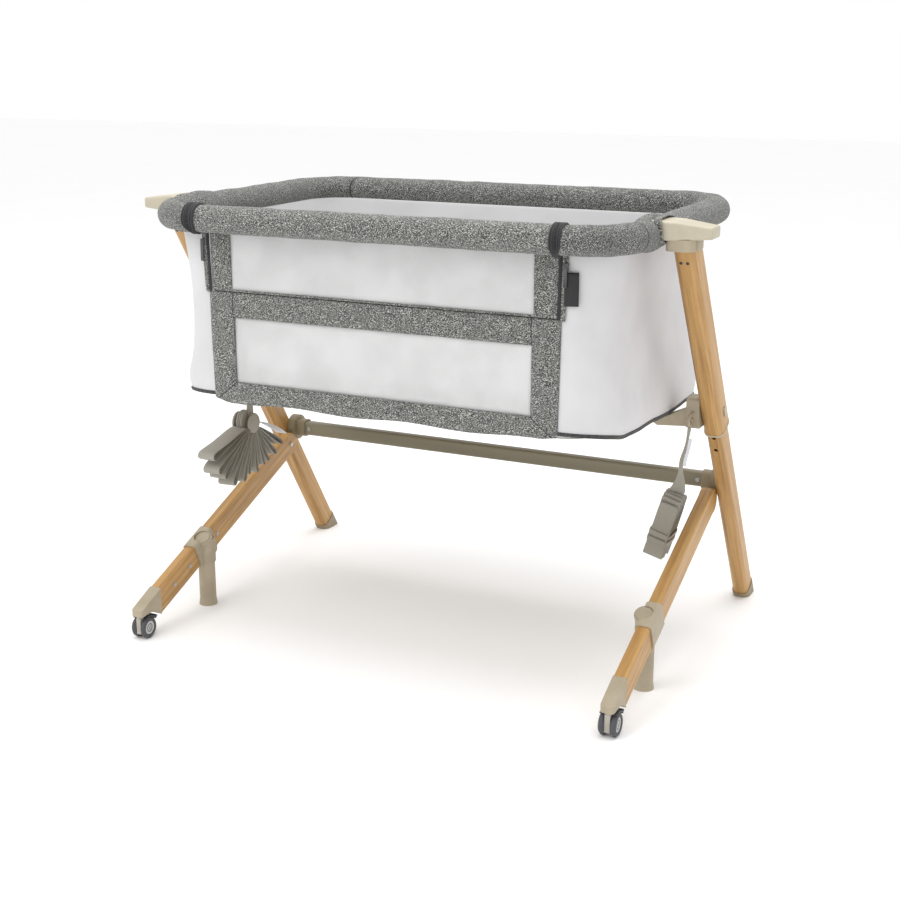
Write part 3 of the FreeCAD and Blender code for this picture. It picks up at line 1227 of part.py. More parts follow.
def drop_border():
    """Side stiles of the drop side, joined by its lower seam."""
    low = BAND_TOP_Z + SEAM_GAP
    body = panel_sheet(low, PANEL_TOP_Z, 0, PANEL_THICK)
    window = panel_sheet(low + SEAM_HIGH, PANEL_TOP_Z - SEAM_HIGH, STILE_WIDE, 2 * PANEL_THICK)
    return body.cut(window)


def drop_mesh():
    low = BAND_TOP_Z + SEAM_GAP + SEAM_HIGH + FIT_GAP
    return panel_sheet(low, PANEL_TOP_Z - SEAM_HIGH - FIT_GAP, STILE_WIDE + FIT_GAP, MESH_THICK)


def zip_side(x_from, x_to):
    """Half band round the end of the rail, at the split."""
    outer = cylinder_x(RAIL_RADIUS + BAND_THICK + FIT_GAP, x_from, x_to, RIM_FRONT_Y, RIM_Z)
    return outer.cut(cylinder_x(RAIL_RADIUS + FIT_GAP, x_from, x_to, RIM_FRONT_Y, RIM_Z))


def zip_tape():
    """Fixed tape beside the front panel, from the rail down to the middle band."""
    low = BAND_TOP_Z
    high = PANEL_TOP_Z - RAIL_RADIUS
    inner_low = panel_half(low) + FIT_GAP * 2
    inner_high = panel_half(high) + FIT_GAP * 2
    corners = [
        (inner_low, low), (inner_low + TAPE_WIDE, low),
        (inner_high + TAPE_WIDE, high), (inner_high, high),
    ]
    return prism_y(corners, PANEL_Y - PANEL_THICK / 2, PANEL_Y + PANEL_THICK / 2)


def zip_slider():
    """Slider body with its hanging pull, in front of the tape."""
    x = panel_half(SLIDER_TOP_Z) + SLIDER_WIDE / 2 + 3 * FIT_GAP
    front = PANEL_Y - PANEL_THICK / 2 - FIT_GAP
    body = block(x - SLIDER_WIDE / 2, x + SLIDER_WIDE / 2, front - SLIDER_THICK, front,
                 SLIDER_TOP_Z - SLIDER_HIGH, SLIDER_TOP_Z)
    body = softened(body, SLIDER_SOFT)
    pull_face = front - SLIDER_THICK
    pull = block(x - PULL_WIDE / 2, x + PULL_WIDE / 2, pull_face - PULL_THICK, pull_face,
                 SLIDER_TOP_Z - SLIDER_HIGH - PULL_LONG, SLIDER_TOP_Z - SLIDER_HIGH / 2)
    return body.fuse(pull)


# ---------------------------------------------------------------- bed base
def ring_path(half_x, front, back, corner, z):
    """Closed level path with round corners."""
    spots = [
        Vector(half_x - corner, back - corner, z), Vector(corner - half_x, back - corner, z),
        Vector(corner - half_x, front + corner, z), Vector(half_x - corner, front + corner, z),
    ]
    arcs = []
    for number, centre in enumerate(spots):
        start = number * QUARTER_TURN
        arcs.append(corner_arc(centre, corner, start, start + QUARTER_TURN))
    first = arcs[0].valueAt(arcs[0].FirstParameter)
    last = arcs[-1].valueAt(arcs[-1].LastParameter)
    edges = list(joined(arcs).Edges) + [Part.LineSegment(last, first).toShape()]
    return Part.Wire(edges)


def base_frame():
    path = ring_path(BASE_HALF_X, BASE_FRONT_Y, BASE_BACK_Y, BASE_CORNER, BASE_Z)
    return pipe(path, BASE_TUBE, BASE_WALL)


def base_board():
    outline = ring_path(BASE_HALF_X, BASE_FRONT_Y, BASE_BACK_Y, BASE_CORNER, BOARD_Z)
    return Part.Face(outline).extrude(Z_AXIS * BOARD_THICK)


def mattress():
    """Pad with a crowned top and sides drawn in at mid height."""
    def layer(z, draw):
        spread = MATTRESS_SPREAD - draw
        return ring_path(BASE_HALF_X + spread, BASE_FRONT_Y - spread, BASE_BACK_Y + spread,
                         MATTRESS_CORNER - draw, z)

    shoulder = MATTRESS_Z + MATTRESS_THICK - MATTRESS_CROWN
    return Part.makeLoft([
        layer(MATTRESS_Z, MATTRESS_EDGE), layer(MATTRESS_Z + MATTRESS_THICK / 3, 0),
        layer(shoulder, MATTRESS_EDGE), layer(MATTRESS_Z + MATTRESS_THICK, MATTRESS_CROWN_IN),
    ], True, True)


# ---------------------------------------------------------------- build
def build():
    os.makedirs("parts", exist_ok=True)
    leg = rear_leg()
    export_pair("rear_leg", leg)
    export_pair("rear_foot", rear_foot(leg))
    export_pair("front_leg_lower", front_leg_lower())
    export_pair("front_leg_upper", front_leg_upper())
    export_pair("hub", hub())
    export("crossbar", crossbar())
    heads = frame_bolts()
    export("frame_bolts", Part.makeCompound(heads + [mirrored(head) for head in heads]))
    export_pair("foot_sleeve", foot_sleeve())
    export_pair("support_foot", support_foot())
    export_pair("foot_button", foot_button())
    export_pair("caster_nose", caster_nose())
    export_pair("caster_fork", caster_fork())
    export_pair("caster_brake", caster_brake())
    for side, name in ((1, "outer"), (-1, "inner")):
        wheel = caster_wheel(side)
        export("caster_wheel_right_" + name, wheel)
        export("caster_wheel_left_" + name, mirrored(wheel))
    export_pair("post", post())
    export_pair("collar", collar())
    export_pair("height_button", height_button())
    export_pair("post_head", post_head())
    export_pair("top_arm", top_arm())
    heads = head_screws()
    export("head_screws", Part.makeCompound(heads + [mirrored(head) for head in heads]))
    export_pair("lower_bracket", lower_bracket())
    export("rim_tube", rim_tube())
    export("rim_padding", rim_padding())
    export("front_rail_tube", front_rail(RIM_TUBE_RADIUS, RIM_TUBE_WALL))
    export("front_rail_padding", front_rail(RAIL_RADIUS, RAIL_RADIUS - RIM_TUBE_RADIUS - FIT_GAP / 2))
    export("base_frame", base_frame())
    export("base_board", base_board())
    export("mattress", mattress())
    export("cloth_skirt", cloth_skirt())
    export("lower_border", lower_border())
    export("lower_mesh", lower_mesh())
    export("drop_border", drop_border())
    export("drop_mesh", drop_mesh())
    fixed = zip_tape()
    ring = rim_band()
    export("zip_tapes", Part.makeCompound([fixed, ring, mirrored(fixed), mirrored(ring)]))
    ring = zip_side(RAIL_END_X - BAND_WIDE / 2, RAIL_END_X - SEAM_GAP)
    export("drop_zip_bands", Part.makeCompound([ring, mirrored(ring)]))
    export_pair("zip_slider", zip_slider())
    hook = strap_hook()
    export("strap_hooks", Part.makeCompound([hook, mirrored(hook)]))
    export("strap_hank_left", strap_hank_left())
    export("strap_hank_right", strap_hank_right())


build()
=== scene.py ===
"""Looks of the bedside sleeper crib: finishes for rigid pieces, and its cloth, padding, zips and straps."""

import math

import bmesh
import bpy
from mathutils import Matrix, Vector, noise
from mathutils.kdtree import KDTree


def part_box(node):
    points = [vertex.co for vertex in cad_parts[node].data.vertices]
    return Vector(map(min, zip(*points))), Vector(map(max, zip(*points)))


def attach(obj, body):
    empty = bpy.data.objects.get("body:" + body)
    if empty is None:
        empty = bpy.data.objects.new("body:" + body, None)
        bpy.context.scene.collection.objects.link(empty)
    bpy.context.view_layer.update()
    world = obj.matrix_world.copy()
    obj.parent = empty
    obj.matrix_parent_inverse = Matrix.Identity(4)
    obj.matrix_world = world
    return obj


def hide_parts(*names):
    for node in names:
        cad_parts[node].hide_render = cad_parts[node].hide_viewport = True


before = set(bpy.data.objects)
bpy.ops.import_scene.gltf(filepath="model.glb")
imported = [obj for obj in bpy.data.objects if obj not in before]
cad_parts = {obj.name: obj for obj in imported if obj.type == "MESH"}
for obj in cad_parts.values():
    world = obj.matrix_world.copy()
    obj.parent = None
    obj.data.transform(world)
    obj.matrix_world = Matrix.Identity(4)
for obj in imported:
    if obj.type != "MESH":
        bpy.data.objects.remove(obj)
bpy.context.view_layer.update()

# ---- places shared with the solids, in metres ----
POST_LEAN = 33.1
RIM_Z = 0.714
RIM_END_X = 0.400
RIM_FRONT_Y = -0.28547
RIM_BACK_Y = 0.26053
RIM_CORNER = 0.090
RIM_RADIUS = 0.0225
RAIL_RADIUS = 0.022
SPLIT_X = RIM_END_X - RIM_CORNER
SEAM_GAP = 0.0006
ARM_Y = -0.15147
BUMP_RISE = 0.0058
BUMP_HALF = 0.046
BAND_WIDE = 0.028
PANEL_Y = -0.26167
PANEL_THICK = 0.003
PANEL_TOP = 0.707
PANEL_BOTTOM = 0.414
PANEL_HALF_TOP = 0.307
PANEL_HALF_BOTTOM = 0.302
BAND_TOP = 0.596
BAND_BOTTOM = 0.555
HEM_TOP = 0.449
STILE = 0.045
CLOTH_FRONT_Y = PANEL_Y + 0.0018
CLOTH_START = 0.3035
CLOTH_TOP = 0.6987
CLOTH_BOTTOM = 0.398
CLOTH_END_TOP = 0.382
CLOTH_END_BOTTOM = 0.370
CLOTH_BACK_TOP = 0.2385
CLOTH_BACK_BOTTOM = 0.2285
BASE_Z = 0.422
LEG_SLOPE = 22.11
WHEEL_Y = -0.332
WHEEL_RADIUS = 0.0185
FAN_AT = Vector((-0.357, -0.096, 0.332))
FAN_LOOPS = 11
FAN_FROM = 192.0
FAN_TO = 330.0
FAN_LONG = 0.124
FAN_SHORT = 0.083
FAN_BACK = 0.102
FAN_VALLEY = 0.55
FAN_CORE = 0.018
STRAP_WIDE = 0.034
STACK_AT = Vector((0.388, 0.0631, 0.257))
STACK_LOOPS = 7
STACK_LONG = 0.112
STACK_PITCH = 0.0034
STACK_ARCH = 0.014
STACK_LEAN = 16.0
HOOK_AT = Vector((0.419, 0.0196, 0.3842))

# ---- sizes of the sewn pieces, in metres ----
NET_LAP = 0.004
CLOTH_CORNER = 0.060
PAD_CORNER = 0.055
PAD_VOXEL = 0.006
PAD_SWELL = 0.005
CHANNEL_PITCH = 0.09
CHANNEL_DEPTH = 0.0035
TAPE_IN = 0.2982
TAPE_OUT = 0.3038
TAPE_THICK = 0.0012
STRIP_IN = 0.3035
STRIP_OUT = 0.3105
SEAM_RUN = 0.297
LIP_WIDE = 0.0293 + 0.0016
LIP_TALL = 0.0143 + 0.0016
LIP_STEPS = 4
STRAP_THICK = 0.0017
STRAP_COLUMNS = 6
LABEL_POINTS = 9
OBJECT_OUTPUT = 3


def linear(red, green, blue):
    """A display colour, 0 to 255, as the linear colour a shader takes."""
    def channel(value):
        share = value / 255
        return share / 12.92 if share <= 0.04045 else ((share + 0.055) / 1.055) ** 2.4
    return (channel(red), channel(green), channel(blue), 1.0)


# ---------------------------------------------------------------- finishes
class Wire:
    """A node's output that takes Python arithmetic; every sum adds its Math node."""

    def __init__(self, finish, socket):
        self.finish = finish
        self.socket = socket

    def maths(self, operation, *others):
        return self.finish.node("ShaderNodeMath", {"operation": operation}, self, *others)

    def __add__(self, other):
        return self.maths("ADD", other)

    def __sub__(self, other):
        return self.maths("SUBTRACT", other)

    def __mul__(self, other):
        return self.maths("MULTIPLY", other)

    def __rsub__(self, other):
        return self.finish.node("ShaderNodeMath", {"operation": "SUBTRACT"}, other, self)

    __radd__ = __add__
    __rmul__ = __mul__

    def within(self, low, high):
        """0 below low, 1 above high, and a soft step between."""
        settings = {"interpolation_type": "SMOOTHSTEP", "clamp": True}
        return self.finish.node("ShaderNodeMapRange", settings, self, low, high)


class Finish:
    """One material, built node by node."""

    def __init__(self, name):
        self.material = bpy.data.materials.new(name)
        self.material.use_nodes = True
        self.tree = self.material.node_tree
        self.tree.nodes.clear()
        self.shader = self.tree.nodes.new("ShaderNodeBsdfPrincipled")
        output = self.tree.nodes.new("ShaderNodeOutputMaterial")
        self.tree.links.new(self.shader.outputs[0], output.inputs[0])

    def node(self, kind, settings, *values, out=0, **named):
        """Add a node, make its settings, then give its sockets values or links."""
        node = self.tree.nodes.new(kind)
        for key, value in settings.items():
            if key == "stops":
                self.fill_ramp(node.color_ramp, value)
            else:
                setattr(node, key, value)
        for key, value in list(enumerate(values)) + list(named.items()):
            socket = node.inputs[key.replace("_", " ") if isinstance(key, str) else key]
            self.plug(value, socket)
        return Wire(self, node.outputs[out])

    def fill_ramp(self, ramp, stops):
        while len(ramp.elements) < len(stops):
            ramp.elements.new(0.5)
        for element, (place, colour) in zip(ramp.elements, stops):
            element.position = place
            element.color = colour

    def plug(self, value, socket):
        if isinstance(value, Wire):
            self.tree.links.new(value.socket, socket)
        elif value is not None:
            socket.default_value = value

    def place(self, scale=(1, 1, 1), turn=0.0):
        """Object coordinates of the piece, turned about X by degrees and then scaled."""
        spot = self.node("ShaderNodeTexCoord", {}, out=OBJECT_OUTPUT)
        turned = self.node("ShaderNodeMapping", {}, Vector=spot, Rotation=(math.radians(turn), 0, 0))
        return self.node("ShaderNodeVectorMath", {"operation": "MULTIPLY"}, turned, scale)

    def grain(self, where, size, detail=2.0, rough=0.5):
        return self.node("ShaderNodeTexNoise", {}, Vector=where, Scale=size, Detail=detail, Roughness=rough)

    def wave(self, where, direction, size, bend):
        settings = {"bands_direction": direction}
        return self.node("ShaderNodeTexWave", settings, Vector=where, Scale=size, Distortion=bend)

    def ramp(self, factor, *stops):
        return self.node("ShaderNodeValToRGB", {"stops": stops}, factor)

    def mix(self, factor, first, second):
        node = self.tree.nodes.new("ShaderNodeMix")
        node.data_type = "RGBA"
        self.plug(factor, node.inputs[0])
        self.plug(first, node.inputs[6])
        self.plug(second, node.inputs[7])
        return Wire(self, node.outputs[2])

    def split(self, where, axis):
        return self.node("ShaderNodeSeparateXYZ", {}, where, out="XYZ".index(axis))

    def look(self, colour, rough, bump=None, depth=0.0002, strength=0.5, **others):
        """Finish the shader: colour, roughness, relief, then any other sockets."""
        self.plug(colour, self.shader.inputs["Base Color"])
        self.plug(rough, self.shader.inputs["Roughness"])
        if bump is not None:
            relief = self.node("ShaderNodeBump", {}, Strength=strength, Distance=depth, Height=bump)
            self.plug(relief, self.shader.inputs["Normal"])
        for name, value in others.items():
            self.plug(value, self.shader.inputs[name.replace("_", " ")])
        return self.material


def oak_foil(name, turn):
    """Golden oak foil on a tube: long fine grain, darker pores, faint cathedral streaks."""
    f = Finish(name)
    along = f.place((150, 150, 5), turn)
    streaks = f.grain(along, 1.0, 5.0, 0.62)
    pores = f.grain(f.place((1500, 1500, 26), turn), 1.0, 3.0, 0.6)
    broad = f.grain(f.place((28, 28, 1.6), turn), 1.0, 3.0)
    base = f.ramp(streaks, (0.30, linear(138, 99, 49)), (0.48, linear(174, 132, 75)),
                  (0.62, linear(190, 149, 91)), (0.78, linear(202, 165, 111)))
    toned = f.mix(broad.within(0.35, 0.68) * 0.45, base, linear(182, 140, 80))
    lined = f.mix(pores.within(0.56, 0.72) * 0.6, toned, linear(112, 78, 38))
    return f.look(lined, 0.36 + 0.16 * pores, pores + streaks * 0.6, 0.00012, 0.35, Coat_Weight=0.12,
                  Coat_Roughness=0.3)


def moulded(name, light, dark, rough=0.5):
    """Fine-grained moulded plastic with a slightly uneven tone."""
    f = Finish(name)
    where = f.place()
    cloud = f.grain(where, 22.0, 3.0)
    sparkle = f.grain(where, 2600.0, 2.0, 0.7)
    colour = f.mix(cloud.within(0.3, 0.7), dark, light)
    return f.look(colour, rough + 0.12 * sparkle, sparkle, 0.00006, 0.35)


def sewn_line(away, half_width):
    """1 on a sewn line, falling off on both sides, from the distance to it."""
    return 1 - away.maths("ABSOLUTE").within(half_width * 0.5, half_width)


def panel_seams(f, where):
    """Seams of the front panel: stile ends on the middle band, and mitred lower corners."""
    side = f.split(where, "X").maths("ABSOLUTE")
    height = f.split(where, "Z")
    inner = PANEL_HALF_BOTTOM - STILE
    below_top = 1 - height.within(BAND_TOP - 0.001, BAND_TOP)
    on_band = height.within(BAND_BOTTOM, BAND_BOTTOM + 0.001) * below_top
    upright = sewn_line(side - (inner + 0.002), 0.0011) * on_band
    mitre = (side - inner) * 0.62 + (height - HEM_TOP) * 0.78
    on_hem = 1 - height.within(HEM_TOP, HEM_TOP + 0.001)
    corner = sewn_line(mitre, 0.0011) * on_hem * side.within(inner, inner + 0.001)
    return upright.maths("MAXIMUM", corner)


def rim_seams(f, where):
    """Ring seams of the rim's cover, ahead of the arms and on the back run."""
    side = f.split(where, "X")
    depth = f.split(where, "Y")
    ends = sewn_line(depth + 0.224, 0.0016) * side.maths("ABSOLUTE").within(0.33, 0.34)
    back = sewn_line(side + 0.318 - (depth - RIM_BACK_Y) * 0.35, 0.0024) * depth.within(0.2, 0.21)
    return ends.maths("MAXIMUM", back)


def heather(name, seams=None, shade=1.0):
    """Melange knit: dark and pale yarns mixed in short streaks, with a soft woven relief."""
    f = Finish(name)
    where = f.place()
    yarn = f.grain(f.place((480, 1000, 1000)), 1.0, 2.0, 0.62)
    fleck = f.grain(f.place((1100, 2100, 2100)), 1.0, 1.5, 0.6)
    cloud = f.grain(where, 30.0, 2.0)
    tone = f.ramp(yarn * 0.7 + fleck * 0.3, (0.40, linear(16 * shade, 17 * shade, 17 * shade)),
                  (0.47, linear(58 * shade, 59 * shade, 57 * shade)),
                  (0.52, linear(104 * shade, 105 * shade, 101 * shade)),
                  (0.57, linear(172 * shade, 172 * shade, 166 * shade)),
                  (0.64, linear(236 * shade, 236 * shade, 229 * shade)))
    colour = f.mix(cloud.within(0.3, 0.7) * 0.22, tone, linear(84 * shade, 86 * shade, 83 * shade))
    rows = f.wave(where, "DIAGONAL", 420.0, 1.5)
    relief = rows * 0.5 + fleck
    if seams is not None:
        sewn = seams(f, where)
        colour = f.mix(sewn * 0.85, colour, linear(30, 31, 31))
        relief = relief - sewn * 2.0
    return f.look(colour, 0.9, relief, 0.0006, 0.7, Sheen_Weight=0.12, Sheen_Roughness=0.6)


def white_cloth(name, light, dark):
    """Soft white fabric with a barely seen weave and faint hollows."""
    f = Finish(name)
    where = f.place()
    nap = f.grain(where, 900.0, 3.0, 0.7)
    cloud = f.grain(where, 14.0, 3.0)
    across = f.wave(where, "Z", 300.0, 0.6)
    along = f.wave(where, "X", 300.0, 0.6)
    colour = f.mix(cloud.within(0.25, 0.75) * 0.7 + nap * 0.3, dark, light)
    return f.look(colour, 0.85, (across + along) * 0.3 + nap, 0.00025, 0.5, Sheen_Weight=0.2)


def fine_net(name):
    """Dense white net: tiny round holes in offset rows, so what lies behind shows faintly."""
    f = Finish(name)
    where = f.place()
    x = f.split(where, "X")
    z = f.split(where, "Z")
    step = 0.0021
    rows = (x * (2 * math.pi / step)).maths("SINE") * (z * (2 * math.pi / step)).maths("SINE")
    holes = rows.within(0.35, 0.85)
    cloud = f.grain(where, 18.0, 3.0)
    colour = f.mix(cloud.within(0.3, 0.7), linear(208, 209, 208), linear(218, 219, 218))
    return f.look(colour, 0.8, rows, 0.0002, 0.4, Alpha=0.78 - 0.38 * holes)


def ribbed_tape(name):
    """Black zip tape with a woven rib."""
    f = Finish(name)
    where = f.place()
    rib = f.wave(where, "Z", 380.0, 0.4)
    nap = f.grain(where, 1800.0, 2.0)
    colour = f.mix(nap, linear(18, 18, 20), linear(44, 44, 47))
    return f.look(colour, 0.72, rib + nap * 0.5, 0.0003, 0.6, Sheen_Weight=0.15)


def webbing(name):
    """Taupe-grey polyester webbing: close ribs, a herringbone twill and pale fibre ends."""
    f = Finish(name)
    where = f.place()
    ribs = f.wave(where, "X", 520.0, 1.2)
    twill = f.wave(where, "DIAGONAL", 300.0, 2.0)
    fibre = f.grain(where, 1500.0, 3.0, 0.7)
    tone = f.ramp(fibre * 0.7 + twill * 0.3, (0.28, linear(104, 100, 90)), (0.5, linear(156, 151, 139)),
                  (0.72, linear(198, 194, 182)))
    return f.look(tone, 0.82, ribs * 0.5 + twill * 0.5 + fibre * 0.4, 0.0004, 0.7, Sheen_Weight=0.15)


def brushed_steel(name):
    f = Finish(name)
    scratch = f.grain(f.place((60, 2400, 2400)), 1.0, 3.0, 0.7)
    colour = f.mix(scratch, linear(150, 150, 150), linear(200, 200, 198))
    return f.look(colour, 0.25 + 0.2 * scratch, scratch, 0.00004, 0.3, Metallic=1.0)


def olive_paint(name):
    """Powder-coated tube, olive taupe, with a slight orange peel."""
    f = Finish(name)
    where = f.place()
    peel = f.grain(where, 900.0, 2.0)
    cloud = f.grain(f.place((2, 20, 20)), 1.0, 2.0)
    colour = f.mix(cloud.within(0.3, 0.7), linear(118, 112, 92), linear(136, 129, 108))
    return f.look(colour, 0.42 + 0.1 * peel, peel, 0.00008, 0.35)


def caster_tread(name):
    """Dark rubber tread round a pale hub disc with moulded rings."""
    f = Finish(name)
    where = f.place()
    away_y = f.split(where, "Y") - WHEEL_Y
    away_z = f.split(where, "Z") - WHEEL_RADIUS
    radius = (away_y * away_y + away_z * away_z).maths("SQRT")
    nap = f.grain(where, 1400.0, 2.0)
    disc = 1 - radius.within(0.0110, 0.0116)
    ring = sewn_line(radius - 0.0066, 0.0012).maths("MAXIMUM", sewn_line(radius - 0.0030, 0.0009))
    pale = f.mix(ring, linear(186, 186, 184), linear(96, 96, 98))
    dark = f.mix(nap, linear(60, 60, 65), linear(84, 84, 89))
    return f.look(f.mix(disc, dark, pale), 0.62 - 0.2 * disc, nap - ring * 1.5, 0.0003, 0.4)


def collar_plastic(name):
    """Taupe lip; the frame round the height button is dark."""
    f = Finish(name)
    where = f.place()
    nap = f.grain(where, 2600.0, 2.0, 0.7)
    above = f.split(where, "Z").within(0.400, 0.402)
    colour = f.mix(above, linear(178, 165, 139), linear(58, 45, 30))
    return f.look(colour, 0.5 + 0.1 * nap, nap, 0.00006, 0.35)


def blank_label(name, light, dark):
    """Woven label left blank: satin threads across, a little worn."""
    f = Finish(name)
    where = f.place()
    threads = f.wave(where, "Z", 620.0, 0.3)
    nap = f.grain(where, 500.0, 3.0)
    return f.look(f.mix(nap, dark, light), 0.55, threads + nap * 0.5, 0.0002, 0.4, Sheen_Weight=0.1)


def board_face(name):
    f = Finish(name)
    fibre = f.grain(f.place((300, 1400, 300)), 1.0, 4.0)
    colour = f.ramp(fibre, (0.3, linear(120, 100, 72)), (0.7, linear(172, 150, 116)))
    return f.look(colour, 0.75, fibre, 0.0002, 0.4)


OAK_POST = oak_foil("oak_foil_post", -POST_LEAN)
OAK_LEG = oak_foil("oak_foil_leg", 90 - LEG_SLOPE)
BEIGE = moulded("beige_plastic", linear(188, 180, 160), linear(178, 170, 149), 0.42)
TAUPE = moulded("taupe_plastic", linear(170, 158, 136), linear(158, 146, 124), 0.48)
FOOT_GREY = moulded("foot_plastic", linear(146, 132, 108), linear(134, 121, 98), 0.5)
HUB_TAUPE = moulded("hub_plastic", linear(150, 138, 112), linear(136, 124, 100), 0.5)
BRAKE = moulded("brake_plastic", linear(62, 62, 66), linear(48, 48, 52), 0.45)
WHEEL = caster_tread("caster_rubber")
COLLAR = collar_plastic("collar_plastic")
FORK = moulded("caster_fork", linear(178, 172, 160), linear(162, 156, 144), 0.45)
OLIVE = olive_paint("olive_tube")
STEEL = brushed_steel("screw_steel")
ZIP_METAL = moulded("zip_metal", linear(92, 92, 94), linear(44, 44, 46), 0.3)
HEATHER = heather("heather_fabric")
HEATHER_PANEL = heather("heather_panel", panel_seams)
HEATHER_RIM = heather("heather_rim", rim_seams, 0.92)
PIPING = heather("hem_piping", None, 0.5)
WHITE = white_cloth("white_fabric", linear(209, 208, 209), linear(199, 198, 199))
NET = fine_net("white_net")
TAPE = ribbed_tape("black_tape")
WEBBING = webbing("strap_webbing")
LABEL_PALE = blank_label("pale_label", linear(226, 228, 232), linear(204, 206, 212))
LABEL_DARK = blank_label("dark_label", linear(24, 24, 26), linear(12, 12, 14))
BOARD = board_face("base_board_face")

FINISH_OF = [
    ("rear_leg", OAK_POST), ("post_head", TAUPE), ("post_", OAK_POST), ("front_leg", OAK_LEG),
    ("rear_foot", FOOT_GREY), ("foot_sleeve", TAUPE), ("support_foot", TAUPE), ("foot_button", TAUPE),
    ("caster_nose", TAUPE), ("caster_fork", FORK), ("caster_brake", BRAKE), ("caster_wheel", WHEEL),
    ("collar", COLLAR), ("height_button", BEIGE), ("top_arm", BEIGE), ("lower_bracket", TAUPE),
    ("hub", HUB_TAUPE), ("crossbar", OLIVE), ("strap_hooks", TAUPE), ("frame_bolts", STEEL),
    ("head_screws", BRAKE), ("rim_tube", STEEL), ("front_rail_tube", STEEL), ("base_frame", STEEL),
    ("base_board", BOARD), ("zip_slider", ZIP_METAL),
]
for node_name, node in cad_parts.items():
    for start, material in FINISH_OF:
        if node_name.startswith(start):
            node.data.materials.clear()
            node.data.materials.append(material)
            break


# ---------------------------------------------------------------- making pieces
def piece(name, mesh, body, slot, material, *nodes):
    """Turn a bmesh into a finished piece that rides on a body and may replace CAD nodes."""
    data = bpy.data.meshes.new(name)
    mesh.to_mesh(data)
    mesh.free()
    data.materials.append(material)
    data.shade_smooth()
    made = bpy.data.objects.new(name, data)
    bpy.context.scene.collection.objects.link(made)
    if nodes:
        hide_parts(*nodes)
    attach(made, body)
    return made


def thicken(made, thickness, offset=0.0, even=True):
    """Give a sheet its wall; an even wall spikes where a band folds back on itself."""
    shell = made.modifiers.new("wall", "SOLIDIFY")
    shell.thickness = thickness
    shell.offset = offset
    shell.use_even_offset = even


def round_off(made, levels=1):
    smooth = made.modifiers.new("round", "SUBSURF")
    smooth.levels = levels
    smooth.render_levels = levels


def wrinkle(vertex, amount, size, stretch=(1, 1, 1), seed=0.0):
    """Small push along the vertex's normal, from a smooth noise."""
    spot = Vector([vertex.co[i] * stretch[i] for i in range(3)]) / size + Vector((seed, seed, seed))
    vertex.co += vertex.normal * (noise.noise(spot) * amount)


def soft_step(value, low, high):
    share = min(1.0, max(0.0, (value - low) / (high - low)))
    return share * share * (3 - 2 * share)


def grow(mesh, edges, run, steps):
    """Extrude edges along a run in equal steps, and return the last edges."""
    for _ in range(steps):
        grown = bmesh.ops.extrude_edge_only(mesh, edges=edges)["geom"]
        moved = [item for item in grown if isinstance(item, bmesh.types.BMVert)]
        bmesh.ops.translate(mesh, verts=moved, vec=Vector(run) / steps)
        edges = [item for item in grown if isinstance(item, bmesh.types.BMEdge)]
    return edges


def facing_x(centre):
    """Matrix that stands a circle or a disc across the X axis at a place."""
    return Matrix.Translation(centre) @ Matrix.Rotation(math.radians(90), 4, "Y")


class Sleeve:
    """Padded tube grown from one ring, run by run, with operators."""

    def __init__(self, centre, radius):
        self.mesh = bmesh.new()
        across = facing_x(centre)
        bmesh.ops.create_circle(self.mesh, cap_ends=False, segments=28, radius=radius, matrix=across)
        self.end = list(self.mesh.edges)

    def straight(self, run, steps):
        self.end = grow(self.mesh, self.end, run, steps)

    def turn(self, centre, degrees, steps):
        spun = bmesh.ops.spin(self.mesh, geom=self.end, cent=centre, axis=(0, 0, 1), dvec=(0, 0, 0),
                              angle=math.radians(degrees), steps=steps)
        self.end = [item for item in spun["geom_last"] if isinstance(item, bmesh.types.BMEdge)]

    def close(self):
        bmesh.ops.recalc_face_normals(self.mesh, faces=self.mesh.faces)
        self.mesh.normal_update()
        return self.mesh


def rim_cover():
    """Heather sleeve round the fixed rim, fuller over the arms' roots and softly uneven."""
    inner_x = RIM_END_X - RIM_CORNER
    front_y = RIM_FRONT_Y + RIM_CORNER
    back_y = RIM_BACK_Y - RIM_CORNER
    sleeve = Sleeve((SPLIT_X + SEAM_GAP, RIM_FRONT_Y, RIM_Z), RIM_RADIUS)
    sleeve.turn((inner_x, front_y, RIM_Z), 90, 18)
    sleeve.straight((0, back_y - front_y, 0), 60)
    sleeve.turn((inner_x, back_y, RIM_Z), 90, 18)
    sleeve.straight((-2 * inner_x, 0, 0), 80)
    sleeve.turn((-inner_x, back_y, RIM_Z), 90, 18)
    sleeve.straight((0, front_y - back_y, 0), 60)
    sleeve.turn((-inner_x, front_y, RIM_Z), 90, 18)
    mesh = sleeve.close()
    for vertex in mesh.verts:
        near = max(0.0, 1 - (abs(vertex.co.y - ARM_Y) / BUMP_HALF) ** 2)
        near *= 1 - soft_step(abs(vertex.co.x), RIM_END_X, RIM_END_X + 0.007)
        if abs(vertex.co.x) > RIM_END_X - 2 * RIM_RADIUS:
            vertex.co += vertex.normal * (BUMP_RISE * near)
        wrinkle(vertex, 0.0011, 0.030)
        wrinkle(vertex, 0.0006, 0.011, seed=4.0)
    made = piece("rim_cover", mesh, "bed", "heather_fabric", HEATHER_RIM, "rim_padding")
    round_off(made)


def rail_cover():
    sleeve = Sleeve((-SPLIT_X + SEAM_GAP, RIM_FRONT_Y, RIM_Z), RAIL_RADIUS)
    sleeve.straight((2 * (SPLIT_X - SEAM_GAP), 0, 0), 90)
    mesh = sleeve.close()
    for vertex in mesh.verts:
        wrinkle(vertex, 0.0010, 0.036)
        wrinkle(vertex, 0.0004, 0.012, seed=2.0)
    made = piece("rail_cover", mesh, "drop_side", "heather_fabric", HEATHER, "front_rail_padding")
    round_off(made)


